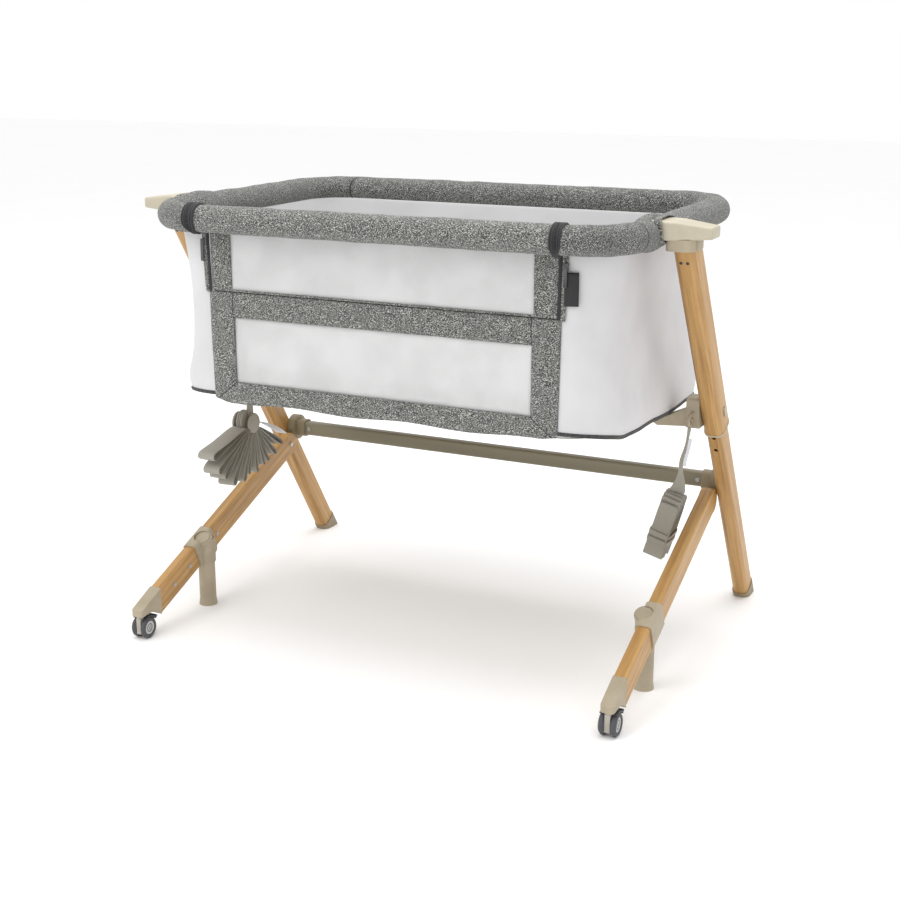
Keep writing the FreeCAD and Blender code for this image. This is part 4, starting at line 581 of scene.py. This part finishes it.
def panel_half(height):
    share = (height - PANEL_BOTTOM) / (PANEL_TOP - PANEL_BOTTOM)
    return PANEL_HALF_BOTTOM + (PANEL_HALF_TOP - PANEL_HALF_BOTTOM) * share


def panel_grid(low, high, inset, step=0.006):
    """Upright sheet in the panel's plane, as wide as the panel is at each height."""
    mesh = bmesh.new()
    columns = int(2 * PANEL_HALF_TOP / step)
    rows = max(2, int((high - low) / step))
    bmesh.ops.create_grid(mesh, x_segments=columns, y_segments=rows, size=1.0,
                          matrix=Matrix.Rotation(math.radians(90), 4, "X"))
    for vertex in mesh.verts:
        height = (low + high) / 2 + vertex.co.z * (high - low) / 2
        vertex.co = Vector((vertex.co.x * (panel_half(height) - inset), PANEL_Y, height))
    return mesh


def cut_window(mesh, low, high, inset):
    """Open a window: cut along its four sides, then delete what lies inside."""
    half = panel_half((low + high) / 2) - inset
    for point, normal in (((0, 0, low), (0, 0, 1)), ((0, 0, high), (0, 0, 1)),
                          ((half, 0, 0), (1, 0, 0)), ((-half, 0, 0), (1, 0, 0))):
        geometry = list(mesh.verts) + list(mesh.edges) + list(mesh.faces)
        bmesh.ops.bisect_plane(mesh, geom=geometry, plane_co=point, plane_no=normal)
    inside = []
    for face in mesh.faces:
        middle = face.calc_center_median()
        if abs(middle.x) < half and low < middle.z < high:
            inside.append(face)
    bmesh.ops.delete(mesh, geom=inside, context="FACES")


def puff(mesh, rise, reach):
    """Lift a padded border in front, most along its middle and least at its edges."""
    rims = [edge for edge in mesh.edges if edge.is_boundary]
    spots = [(edge.verts[0].co + edge.verts[1].co) / 2 for edge in rims]
    tree = KDTree(len(spots))
    for index, spot in enumerate(spots):
        tree.insert(spot, index)
    tree.balance()
    for vertex in mesh.verts:
        away = tree.find(vertex.co)[2]
        vertex.co.y -= rise * soft_step(away, 0, reach)


def lower_frame():
    """Heather border of the fixed window: middle band, stiles and drooping bottom band."""
    mesh = panel_grid(PANEL_BOTTOM, BAND_TOP, 0.0)
    cut_window(mesh, HEM_TOP, BAND_BOTTOM, STILE)
    puff(mesh, 0.0022, 0.010)
    for vertex in mesh.verts:
        corner = abs(vertex.co.x) / PANEL_HALF_BOTTOM
        low = 1 - soft_step(vertex.co.z, PANEL_BOTTOM, HEM_TOP)
        vertex.co.z += low * (0.005 * soft_step(corner, 0.9, 1.0) + 0.002 * math.sin(vertex.co.x * 31))
        vertex.co.y += 0.0012 * noise.noise(vertex.co / 0.03)
    made = piece("lower_frame", mesh, "bed", "heather_fabric", HEATHER_PANEL, "lower_border")
    thicken(made, PANEL_THICK)
    round_off(made)


def drop_frame():
    """Heather stiles of the fold-down side with the seam that joins them."""
    low = BAND_TOP + SEAM_GAP
    mesh = panel_grid(low, PANEL_TOP, 0.0065)
    cut_window(mesh, low + 0.004, PANEL_TOP - 0.004, STILE)
    puff(mesh, 0.0016, 0.010)
    for vertex in mesh.verts:
        vertex.co.y += 0.0010 * noise.noise(vertex.co / 0.03)
    made = piece("drop_frame", mesh, "drop_side", "heather_fabric", HEATHER_PANEL, "drop_border")
    thicken(made, PANEL_THICK)
    round_off(made)


def net_window(name, low, high, body, node):
    """Net sewn behind its border, drawn slightly inwards in the middle."""
    mesh = panel_grid(low - NET_LAP, high + NET_LAP, STILE - NET_LAP, 0.012)
    for vertex in mesh.verts:
        side = 1 - (vertex.co.x / (panel_half(vertex.co.z) - STILE)) ** 2
        tall = 1 - (2 * (vertex.co.z - low) / (high - low) - 1) ** 2
        drawn = 0.004 * max(0.0, side) * max(0.0, tall)
        vertex.co.y += 0.001 + drawn + 0.0008 * noise.noise(vertex.co / 0.05)
    made = piece(name, mesh, body, "white_mesh", NET, node)
    thicken(made, 0.0006)
    wide = 2 * (panel_half((low + high) / 2) - STILE + NET_LAP)


def cloth_line(mesh):
    """Level line of the cloth's top edge, from its right front end round to the left."""
    wide = CLOTH_END_TOP - CLOTH_CORNER
    deep = CLOTH_BACK_TOP - CLOTH_CORNER
    near = CLOTH_FRONT_Y + CLOTH_CORNER
    last = [mesh.verts.new((CLOTH_START, CLOTH_FRONT_Y, CLOTH_TOP))]

    def straight(run, steps):
        for _ in range(steps):
            grown = bmesh.ops.extrude_vert_indiv(mesh, verts=last)["verts"]
            bmesh.ops.translate(mesh, verts=grown, vec=Vector(run) / steps)
            last[:] = grown

    def turn(centre, steps):
        spun = bmesh.ops.spin(mesh, geom=last, cent=centre, axis=(0, 0, 1), dvec=(0, 0, 0),
                              angle=math.radians(90), steps=steps)
        last[:] = [item for item in spun["geom_last"] if isinstance(item, bmesh.types.BMVert)]

    straight((wide - CLOTH_START, 0, 0), 3)
    turn((wide, near, CLOTH_TOP), 12)
    straight((0, deep - near, 0), 44)
    turn((wide, deep, CLOTH_TOP), 12)
    straight((-2 * wide, 0, 0), 66)
    turn((-wide, deep, CLOTH_TOP), 12)
    straight((0, near - deep, 0), 44)
    turn((-wide, near, CLOTH_TOP), 12)
    straight((wide - CLOTH_START, 0, 0), 3)
    return list(mesh.edges)


def hang(spot):
    """Where a point of the straight wall goes: drawn in at mid height, full above the hem."""
    down = (CLOTH_TOP - spot.z) / (CLOTH_TOP - CLOTH_BOTTOM)
    at_end = soft_step(abs(spot.x), 0.30, 0.36)
    front = 1 - soft_step(spot.y, CLOTH_FRONT_Y, -0.13)
    hem = CLOTH_BOTTOM + 0.012 * (1 - soft_step(spot.y, -0.2, 0.1)) + 0.016 * front ** 2
    drawn = math.sin(math.pi * min(1.0, down / 0.80)) * 0.0105
    full = math.exp(-((down - 0.93) / 0.10) ** 2) * (0.0085 + 0.004 * front)
    inward = (CLOTH_END_TOP - CLOTH_END_BOTTOM) * down + (drawn - full) * at_end
    placed = Vector((spot.x * (1 - inward / CLOTH_END_TOP), spot.y, CLOTH_TOP + (hem - CLOTH_TOP) * down))
    if spot.y > 0:
        placed.y -= (CLOTH_BACK_TOP - CLOTH_BACK_BOTTOM) * down * spot.y / CLOTH_BACK_TOP
    return placed


def draped_wall(low, high, rows):
    """The cloth's wall between two heights of the straight wall, hung and creased."""
    mesh = bmesh.new()
    around = cloth_line(mesh)
    bmesh.ops.translate(mesh, verts=mesh.verts, vec=(0, 0, high - CLOTH_TOP))
    grow(mesh, around, (0, 0, low - high), rows)
    bmesh.ops.recalc_face_normals(mesh, faces=mesh.faces)
    for vertex in mesh.verts:
        vertex.co = hang(vertex.co)
    mesh.normal_update()
    for vertex in mesh.verts:
        free = soft_step(vertex.co.y, CLOTH_FRONT_Y, CLOTH_FRONT_Y + 0.02)
        wrinkle(vertex, 0.0032 * free, 0.10, (1, 1, 0.6))
        wrinkle(vertex, 0.0010 * free, 0.028, (1, 1, 0.5), 3.0)
    return mesh


def skirt():
    """White cloth of the ends and the back, with a dark piping along its hem."""
    wall = draped_wall(CLOTH_BOTTOM, CLOTH_TOP, 36)
    made = piece("cloth_walls", wall, "bed", "white_fabric", WHITE, "cloth_skirt")
    thicken(made, 0.002)
    round_off(made)
    hem = draped_wall(CLOTH_BOTTOM - 0.0030, CLOTH_BOTTOM + 0.0040, 3)
    edge = piece("hem_piping", hem, "bed", "heather_fabric", PIPING)
    thicken(edge, 0.0062)
    round_off(edge)


def mattress_pad():
    """Quilted pad: swollen by a cloth simulation, then drawn in along its sewn channels."""
    low, high = [Vector(corner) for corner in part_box("mattress")]
    mesh = bmesh.new()
    bmesh.ops.create_cube(mesh, size=1.0)
    bmesh.ops.scale(mesh, vec=(high - low) * 0.985, verts=mesh.verts)
    bmesh.ops.translate(mesh, vec=(low + high) / 2, verts=mesh.verts)
    uprights = [edge for edge in mesh.edges if abs(edge.verts[0].co.z - edge.verts[1].co.z) > 0.01]
    bmesh.ops.bevel(mesh, geom=uprights, offset=PAD_CORNER, segments=8, affect="EDGES", profile=0.5,
                    material=-1)
    made = piece("mattress_pad", mesh, "bed", "white_fabric", WHITE, "mattress")
    scene = bpy.context.scene
    remesh = made.modifiers.new("voxels", "REMESH")
    remesh.mode = "VOXEL"
    remesh.voxel_size = PAD_VOXEL
    bake(made)
    rest = [vertex.co.copy() for vertex in made.data.vertices]
    cloth = made.modifiers.new("swell", "CLOTH")
    cloth.settings.use_pressure = True
    cloth.settings.uniform_pressure_force = 4.0
    cloth.settings.effector_weights.gravity = 0.0
    for step in range(1, 21):
        scene.frame_set(step)
    bake(made)
    scene.frame_set(1)
    top = high.z
    for vertex, start in zip(made.data.vertices, rest):
        moved = vertex.co - start
        if moved.length > PAD_SWELL:
            moved *= PAD_SWELL / moved.length
        vertex.co = start + moved
        if start.z > top - 0.006:
            across = abs(math.sin(math.pi * start.x / CHANNEL_PITCH))
            along = abs(math.sin(math.pi * start.y / CHANNEL_PITCH))
            vertex.co.z -= CHANNEL_DEPTH * (1 - min(1.0, 3 * (across * along)))
        vertex.co.z = min(max(vertex.co.z, low.z), top + 0.004)
    made.data.shade_smooth()
    round_off(made)


def bake(made):
    """Make a piece's modifiers part of its mesh."""
    graph = bpy.context.evaluated_depsgraph_get()
    fresh = bpy.data.meshes.new_from_object(made.evaluated_get(graph))
    made.modifiers.clear()
    made.data = fresh


# ---------------------------------------------------------------- zips, strips and labels
def zip_ring(name, x_from, x_to, body, *nodes):
    """Ribbed black band round the sleeve at the split, pinched towards the zip below."""
    mesh = bmesh.new()
    radius = RIM_RADIUS + 0.0013
    across = facing_x((x_from, RIM_FRONT_Y, RIM_Z))
    bmesh.ops.create_circle(mesh, cap_ends=False, segments=40, radius=radius, matrix=across)
    grow(mesh, list(mesh.edges), (x_to - x_from, 0, 0), 14)
    for vertex in mesh.verts:
        away = Vector((0, vertex.co.y - RIM_FRONT_Y, vertex.co.z - RIM_Z))
        share = (vertex.co.x - x_from) / (x_to - x_from)
        away *= 1 + 0.035 * math.cos(2 * math.pi * 2.5 * share)
        low = soft_step(-away.z / radius, 0.25, 1.0)
        side = math.copysign(1, x_from)
        middle = side * (SPLIT_X - 0.006)
        vertex.co.x = vertex.co.x + (middle - vertex.co.x) * 0.62 * low
        past = max(0.0, abs(vertex.co.x) - SPLIT_X) / RIM_CORNER
        vertex.co.y = RIM_FRONT_Y + away.y + RIM_CORNER * (1 - math.cos(past))
        vertex.co.z = RIM_Z + away.z
    bmesh.ops.recalc_face_normals(mesh, faces=mesh.faces)
    made = piece(name, mesh, body, "black_tape", TAPE, *nodes)
    thicken(made, TAPE_THICK)
    round_off(made)


def joined_piece(name, makers, body, slot, material, *nodes):
    """One piece from several meshes."""
    mesh = bmesh.new()
    for maker in makers:
        part = bpy.data.meshes.new("part")
        maker.to_mesh(part)
        maker.free()
        mesh.from_mesh(part)
        bpy.data.meshes.remove(part)
    return piece(name, mesh, body, slot, material, *nodes)


def sheet_between(corners, columns, rows, bulge=(0, 0, 0), ripple=0.0):
    """Four-cornered sheet with a soft bulge, as a grid."""
    mesh = bmesh.new()
    bmesh.ops.create_grid(mesh, x_segments=columns, y_segments=rows, size=1.0)
    a, b, c, d = [Vector(corner) for corner in corners]
    for vertex in mesh.verts:
        u = (vertex.co.x + 1) / 2
        v = (vertex.co.y + 1) / 2
        crown = math.sin(math.pi * u) * math.sin(math.pi * v)
        spot = a.lerp(b, u).lerp(d.lerp(c, u), v) + Vector(bulge) * crown
        spot.y += ripple * noise.noise(spot / 0.018)
        vertex.co = spot
    return mesh


def zip_parts():
    """Black tapes down to the middle band, with heather strips beside them, and a black sheet behind the
    middle band's top seam as painted shade for the gap there.
    """
    tapes = []
    strips = []
    front = PANEL_Y - PANEL_THICK / 2 - 0.0006
    top = RIM_Z - RAIL_RADIUS - 0.001
    for side in (1, -1):
        near = side * TAPE_IN
        far = side * TAPE_OUT
        corners = [(near, front, BAND_TOP), (far, front, BAND_TOP),
                   (far + side * 0.002, front, top), (near + side * 0.002, front, top)]
        tapes.append(sheet_between(corners, 4, 60, (0, -0.0008, 0), 0.0006))
        near = side * STRIP_IN
        far = side * STRIP_OUT
        corners = [(near, front, BAND_TOP - 0.002), (far, front + 0.001, BAND_TOP - 0.002),
                   (far + side * 0.004, front + 0.001, top), (near + side * 0.002, front, top)]
        strips.append(sheet_between(corners, 6, 40, (side * 0.001, -0.001, 0), 0.0006))
    # Black sheet behind the seam gap on top of the middle band: painted shade, so the gap reads dark instead
    # of showing the net behind it.
    behind = PANEL_Y + PANEL_THICK / 2 + 0.0008
    corners = [(-SEAM_RUN, behind, BAND_TOP - 0.006), (SEAM_RUN, behind, BAND_TOP - 0.006),
               (SEAM_RUN, behind, BAND_TOP + 0.004), (-SEAM_RUN, behind, BAND_TOP + 0.004)]
    tapes.append(sheet_between(corners, 60, 2))
    # This joined piece holds the zip tapes and also the black painted-shade sheet behind the seam.
    tape = joined_piece("zip_tapes_and_seam_shade", tapes, "bed", "black_tape", TAPE, "zip_tapes")
    thicken(tape, TAPE_THICK)
    strip = joined_piece("side_strips", strips, "bed", "heather_fabric", HEATHER)
    thicken(strip, 0.0018)
    round_off(strip)
    half = BAND_WIDE / 2
    zip_ring("zip_ring_right", SPLIT_X + SEAM_GAP, SPLIT_X + 0.6 * half, "bed")
    zip_ring("zip_ring_left", -SPLIT_X - SEAM_GAP, -SPLIT_X - 0.8 * half, "bed")
    zip_ring("drop_ring_right", SPLIT_X - SEAM_GAP, SPLIT_X - 0.7 * half, "drop_side", "drop_zip_bands")
    zip_ring("drop_ring_left", -SPLIT_X + SEAM_GAP, -SPLIT_X + 0.9 * half, "drop_side")


def inner_strips():
    """Stiles of the lining, seen through the lower net as a grey strip."""
    back = PANEL_Y + 0.018
    made = []
    for side in (1, -1):
        near = side * (PANEL_HALF_BOTTOM - STILE - 0.007)
        far = side * (PANEL_HALF_BOTTOM - 0.008)
        corners = [(near, back, HEM_TOP - 0.002), (far, back, HEM_TOP - 0.002),
                   (far, back, BAND_BOTTOM + 0.004), (near, back, BAND_BOTTOM + 0.004)]
        made.append(sheet_between(corners, 8, 20, (0, -0.002, 0), 0.001))
    strip = joined_piece("lining_stiles", made, "bed", "heather_fabric", HEATHER)
    thicken(strip, 0.0015)


def rounded_box(angle, wide, tall, power):
    """Point on a box section with round corners, at an angle round it."""
    across = math.copysign(abs(math.cos(angle)) ** power, math.cos(angle)) * wide
    up = math.copysign(abs(math.sin(angle)) ** power, math.sin(angle)) * tall
    return across, up


def arm_lips():
    """Turned edges of the rim's cover where each arm comes out of it."""
    makers = []
    for side in (1, -1):
        mesh = bmesh.new()
        bmesh.ops.create_circle(mesh, cap_ends=False, segments=48, radius=1.0,
                                matrix=Matrix.Rotation(math.radians(90), 4, "Y"))
        grow(mesh, list(mesh.edges), (LIP_STEPS, 0, 0), LIP_STEPS)
        for vertex in mesh.verts:
            out = vertex.co.x / LIP_STEPS
            angle = math.atan2(vertex.co.z, vertex.co.y)
            y, z = rounded_box(angle, LIP_WIDE, LIP_TALL, 0.35)
            reach = 0.010 + 0.011 * out + 0.008 * (1 - (z + LIP_TALL) / (2 * LIP_TALL)) * out
            reach += 0.0015 * math.sin(3 * angle) * out
            flare = 1 + 0.04 * out
            vertex.co = Vector((side * (RIM_END_X + reach), ARM_Y + y * flare, RIM_Z + 0.0071 + z * flare))
        bmesh.ops.recalc_face_normals(mesh, faces=mesh.faces)
        makers.append(mesh)
    made = joined_piece("arm_lips", makers, "bed", "heather_fabric", HEATHER)
    thicken(made, 0.0022, 1.0)
    round_off(made)


def side_tag():
    """Blank black label sewn into the right side strip."""
    front = PANEL_Y - 0.0042
    corners = [(0.3095, front, 0.617), (0.3310, front + 0.002, 0.618),
               (0.3305, front + 0.002, 0.6665), (0.3095, front, 0.666)]
    mesh = sheet_between(corners, 6, 12, (0, -0.001, 0), 0.0004)
    made = piece("side_label", mesh, "bed", "black_tape", LABEL_DARK)
    thicken(made, 0.0010)


# ---------------------------------------------------------------- strap hanks
def ribbon(name, line, width_at, slot, material, *nodes, twist_at=None):
    """Flat band along a line of points, its width along X, with softly uneven edges."""
    mesh = bmesh.new()
    bmesh.ops.create_grid(mesh, x_segments=len(line) - 1, y_segments=STRAP_COLUMNS, size=1.0)
    for vertex in mesh.verts:
        index = round((vertex.co.x + 1) / 2 * (len(line) - 1))
        spot = line[index]
        half = width_at(index / (len(line) - 1)) / 2
        offset = vertex.co.y * half
        turned = twist_at(index / (len(line) - 1)) if twist_at else 0.0
        side = Vector((math.cos(turned), math.sin(turned), 0))
        wave = noise.noise(spot / 0.03) * 0.0016
        lifted = Vector((0, 0, 0.0012 * noise.noise(spot / 0.05) * vertex.co.y))
        vertex.co = spot + side * (offset + wave) + lifted
    made = piece(name, mesh, "bed", slot, material, *nodes)
    thicken(made, STRAP_THICK, even=False)
    return made


def fan_points():
    """Centre line of the fanned loops, in the plane across the bed's left end."""
    step = math.radians(FAN_TO - FAN_FROM) / (2 * FAN_LOOPS - 1)

    def ray(number, distance, loop):
        angle = math.radians(FAN_FROM) + step * number
        shift = 0.003 * math.sin(2.1 * loop)
        return FAN_AT + Vector((shift, distance * math.cos(angle), distance * math.sin(angle)))

    points = []
    for loop in range(FAN_LOOPS):
        share = loop / (FAN_LOOPS - 1)
        front = max(0.0, math.cos(math.pi / 2 * share / FAN_VALLEY))
        back = max(0.0, (share - FAN_VALLEY) / (1 - FAN_VALLEY))
        far = FAN_SHORT + (FAN_LONG - FAN_SHORT) * front + (FAN_BACK - FAN_SHORT) * back ** 2
        far += 0.004 * math.sin(2.4 * loop)
        first = 2 * loop
        for distance in (FAN_CORE, 0.4 * far, 0.7 * far, far):
            points.append(ray(first + 0.12 * math.sin(distance * 90), distance, loop))
        for turn in (0.25, 0.5, 0.75):
            points.append(ray(first + turn, far + 0.006 * math.sin(math.pi * turn), loop))
        for distance in (far, 0.7 * far, 0.4 * far, FAN_CORE):
            points.append(ray(first + 1 - 0.12 * math.sin(distance * 90), distance, loop))
        if loop < FAN_LOOPS - 1:
            points.append(ray(first + 1.5, FAN_CORE * 0.86, loop))
    return points


def left_hank():
    """Fanned hank: the loops, their tie, the strap that holds them up, and a blank label."""
    made = ribbon("fan_loops", fan_points(), lambda share: STRAP_WIDE, "webbing", WEBBING, "strap_hank_left")
    round_off(made)
    up = []
    rise = BASE_Z - 0.0095 - FAN_AT.z - 0.012
    for number in range(15):
        share = number / 14
        up.append(FAN_AT + Vector((0.009, 0.002 * math.sin(7 * share), 0.012 + share * rise)))
    hanger = ribbon("fan_hanger", up, lambda share: 0.013 - 0.004 * share, "webbing", WEBBING,
                    twist_at=lambda share: 0.9 * math.sin(5 * share))
    round_off(hanger)
    cord = bmesh.new()
    for offset in (-0.004, 0.0, 0.004):
        place = facing_x(FAN_AT + Vector((offset, -0.004, 0.004)))
        bmesh.ops.create_cone(cord, cap_ends=True, segments=26, radius1=0.0195, radius2=0.0195, depth=0.003,
                              matrix=place)
    for side in (-1, 1):
        place = facing_x(FAN_AT + Vector((side * 0.0162, 0, 0)))
        bmesh.ops.create_cone(cord, cap_ends=True, segments=26, radius1=0.0185, radius2=0.0175, depth=0.003,
                              matrix=place)
    tie = piece("fan_tie", cord, "bed", "webbing", WEBBING)
    rounded = tie.modifiers.new("edges", "BEVEL")
    rounded.width = 0.0008
    rounded.segments = 2
    label = []
    for number in range(LABEL_POINTS):
        angle = math.radians(343 - number * 0.9)
        distance = 0.048 + 0.0095 * number
        label.append(FAN_AT + Vector((0.002, distance * math.cos(angle), distance * math.sin(angle) + 0.004)))
    tag = ribbon("fan_label", label, lambda share: 0.024, "white_fabric", LABEL_PALE)
    round_off(tag)


def stack_points():
    """Centre line of the folded hank about its own top, before it leans."""
    count = 2 * STACK_LOOPS
    points = []
    for number in range(count):
        y = (number - (count - 1) / 2) * STACK_PITCH
        top = -STACK_ARCH * (y / (STACK_PITCH * count / 2)) ** 2
        foot = -STACK_LONG + 0.004 * math.sin(1.9 * (number // 2) * 2)
        bow = 0.0006 * math.sin(1.3 * number)
        run = [Vector((0, y, top)), Vector((0, y + bow, top + (foot - top) * 0.33)),
               Vector((0, y - bow, top + (foot - top) * 0.66)), Vector((0, y, foot))]
        if number % 2:
            run.reverse()
        points += run
        at_foot = number % 2 == 0
        fold = foot - STACK_PITCH / 2 if at_foot else top + STACK_PITCH / 2
        if number < count - 1:
            points.append(Vector((0, y + STACK_PITCH / 2, fold)))
    return points


def neck_width(share):
    """Gathered under the hook, and spread to the strap's width over the lowest third."""
    return 0.007 + 0.025 * max(0.0, 1 - share / 0.34) ** 1.1


def neck_twist(share):
    return 0.8 * math.sin(6 * share) * soft_step(share, 0.2, 0.5)


def right_hank():
    """Folded hank that leans off the leg, its keeper, and the gathered strap up to the hook."""
    lean = Matrix.Rotation(math.radians(STACK_LEAN), 4, "Y")
    line = stack_points()
    made = ribbon("stack_loops", line, lambda share: STRAP_WIDE, "webbing", WEBBING, "strap_hank_right")
    round_off(made)
    wraps = bmesh.new()
    half = STACK_LOOPS * STACK_PITCH + 0.0010
    for height in (-0.076, -0.088):
        place = Matrix.Translation((0, 0, height))
        bmesh.ops.create_circle(wraps, cap_ends=False, segments=32, radius=1.0, matrix=place)
    for vertex in wraps.verts:
        angle = math.atan2(vertex.co.y, vertex.co.x)
        vertex.co.xy = rounded_box(angle, STRAP_WIDE / 2 + 0.0018, half, 0.3)
    grow(wraps, list(wraps.edges), (0, 0, 0.0090), 3)
    keeper = piece("stack_keeper", wraps, "bed", "webbing", WEBBING)
    thicken(keeper, 0.0016)
    round_off(keeper)
    for hank in (made, keeper):
        for vertex in hank.data.vertices:
            vertex.co = lean @ vertex.co + STACK_AT
    neck = []
    for number in range(19):
        share = number / 18
        sway = 0.002 * math.sin(9 * share) * (1 - share)
        neck.append(STACK_AT.lerp(HOOK_AT, share) + Vector((sway, 0, 0)))
    strap = ribbon("stack_neck", neck, neck_width, "webbing", WEBBING, twist_at=neck_twist)
    round_off(strap)
    label = []
    for number in range(LABEL_POINTS):
        share = 0.42 + 0.42 * number / (LABEL_POINTS - 1)
        label.append(STACK_AT.lerp(HOOK_AT, share) + Vector((0.0055, -0.002, 0)))
    tag = ribbon("neck_label", label, lambda share: 0.006, "white_fabric", LABEL_PALE)
    round_off(tag)


camera_data = bpy.data.cameras.new("camera")
camera_data.lens = 57.96
camera_data.sensor_width = 36.0
camera = bpy.data.objects.new("camera", camera_data)
camera.location = (1.0593, -2.1797, 0.9744)
camera.rotation_euler = (math.radians(74.45), 0, math.radians(25.94))
bpy.context.scene.collection.objects.link(camera)
bpy.context.scene.camera = camera


def soft_light(name, place, aim, size, power):
    lamp = bpy.data.lights.new(name, "AREA")
    lamp.shape = "DISK"
    lamp.size = size
    lamp.energy = power
    held = bpy.data.objects.new(name, lamp)
    held.location = place
    held.rotation_euler = (Vector(aim) - Vector(place)).to_track_quat("-Z", "Y").to_euler()
    bpy.context.scene.collection.objects.link(held)


soft_light("key", (-1.4, -2.4, 3.0), (0, 0, 0.4), 2.4, 34)
soft_light("top", (0.2, 0.2, 3.3), (0, 0, 0.5), 2.6, 52)

world = bpy.data.worlds.new("studio")
world.use_nodes = True
world.node_tree.nodes["Background"].inputs[0].default_value = (1, 1, 1, 1)
world.node_tree.nodes["Background"].inputs[1].default_value = 1.0
bpy.context.scene.world = world
bpy.context.scene.view_settings.view_transform = "Standard"

floor_mesh = bmesh.new()
bmesh.ops.create_grid(floor_mesh, x_segments=1, y_segments=1, size=14.0)
floor_data = bpy.data.meshes.new("floor")
floor_mesh.to_mesh(floor_data)
floor_mesh.free()
floor = bpy.data.objects.new("floor", floor_data)
floor_finish = Finish("pale_floor")
speckle = floor_finish.grain(floor_finish.place(), 3.0)
floor_tone = floor_finish.mix(speckle, linear(250, 250, 250), linear(253, 253, 253))
floor_data.materials.append(floor_finish.look(floor_tone, 0.7))
bpy.context.scene.collection.objects.link(floor)

rim_cover()
rail_cover()
lower_frame()
drop_frame()
net_window("lower_net", HEM_TOP, BAND_BOTTOM, "bed", "lower_mesh")
net_window("drop_net", BAND_TOP + 0.005, PANEL_TOP - 0.005, "drop_side", "drop_mesh")
skirt()
mattress_pad()
zip_parts()
inner_strips()
arm_lips()
side_tag()
left_hank()
right_hank()
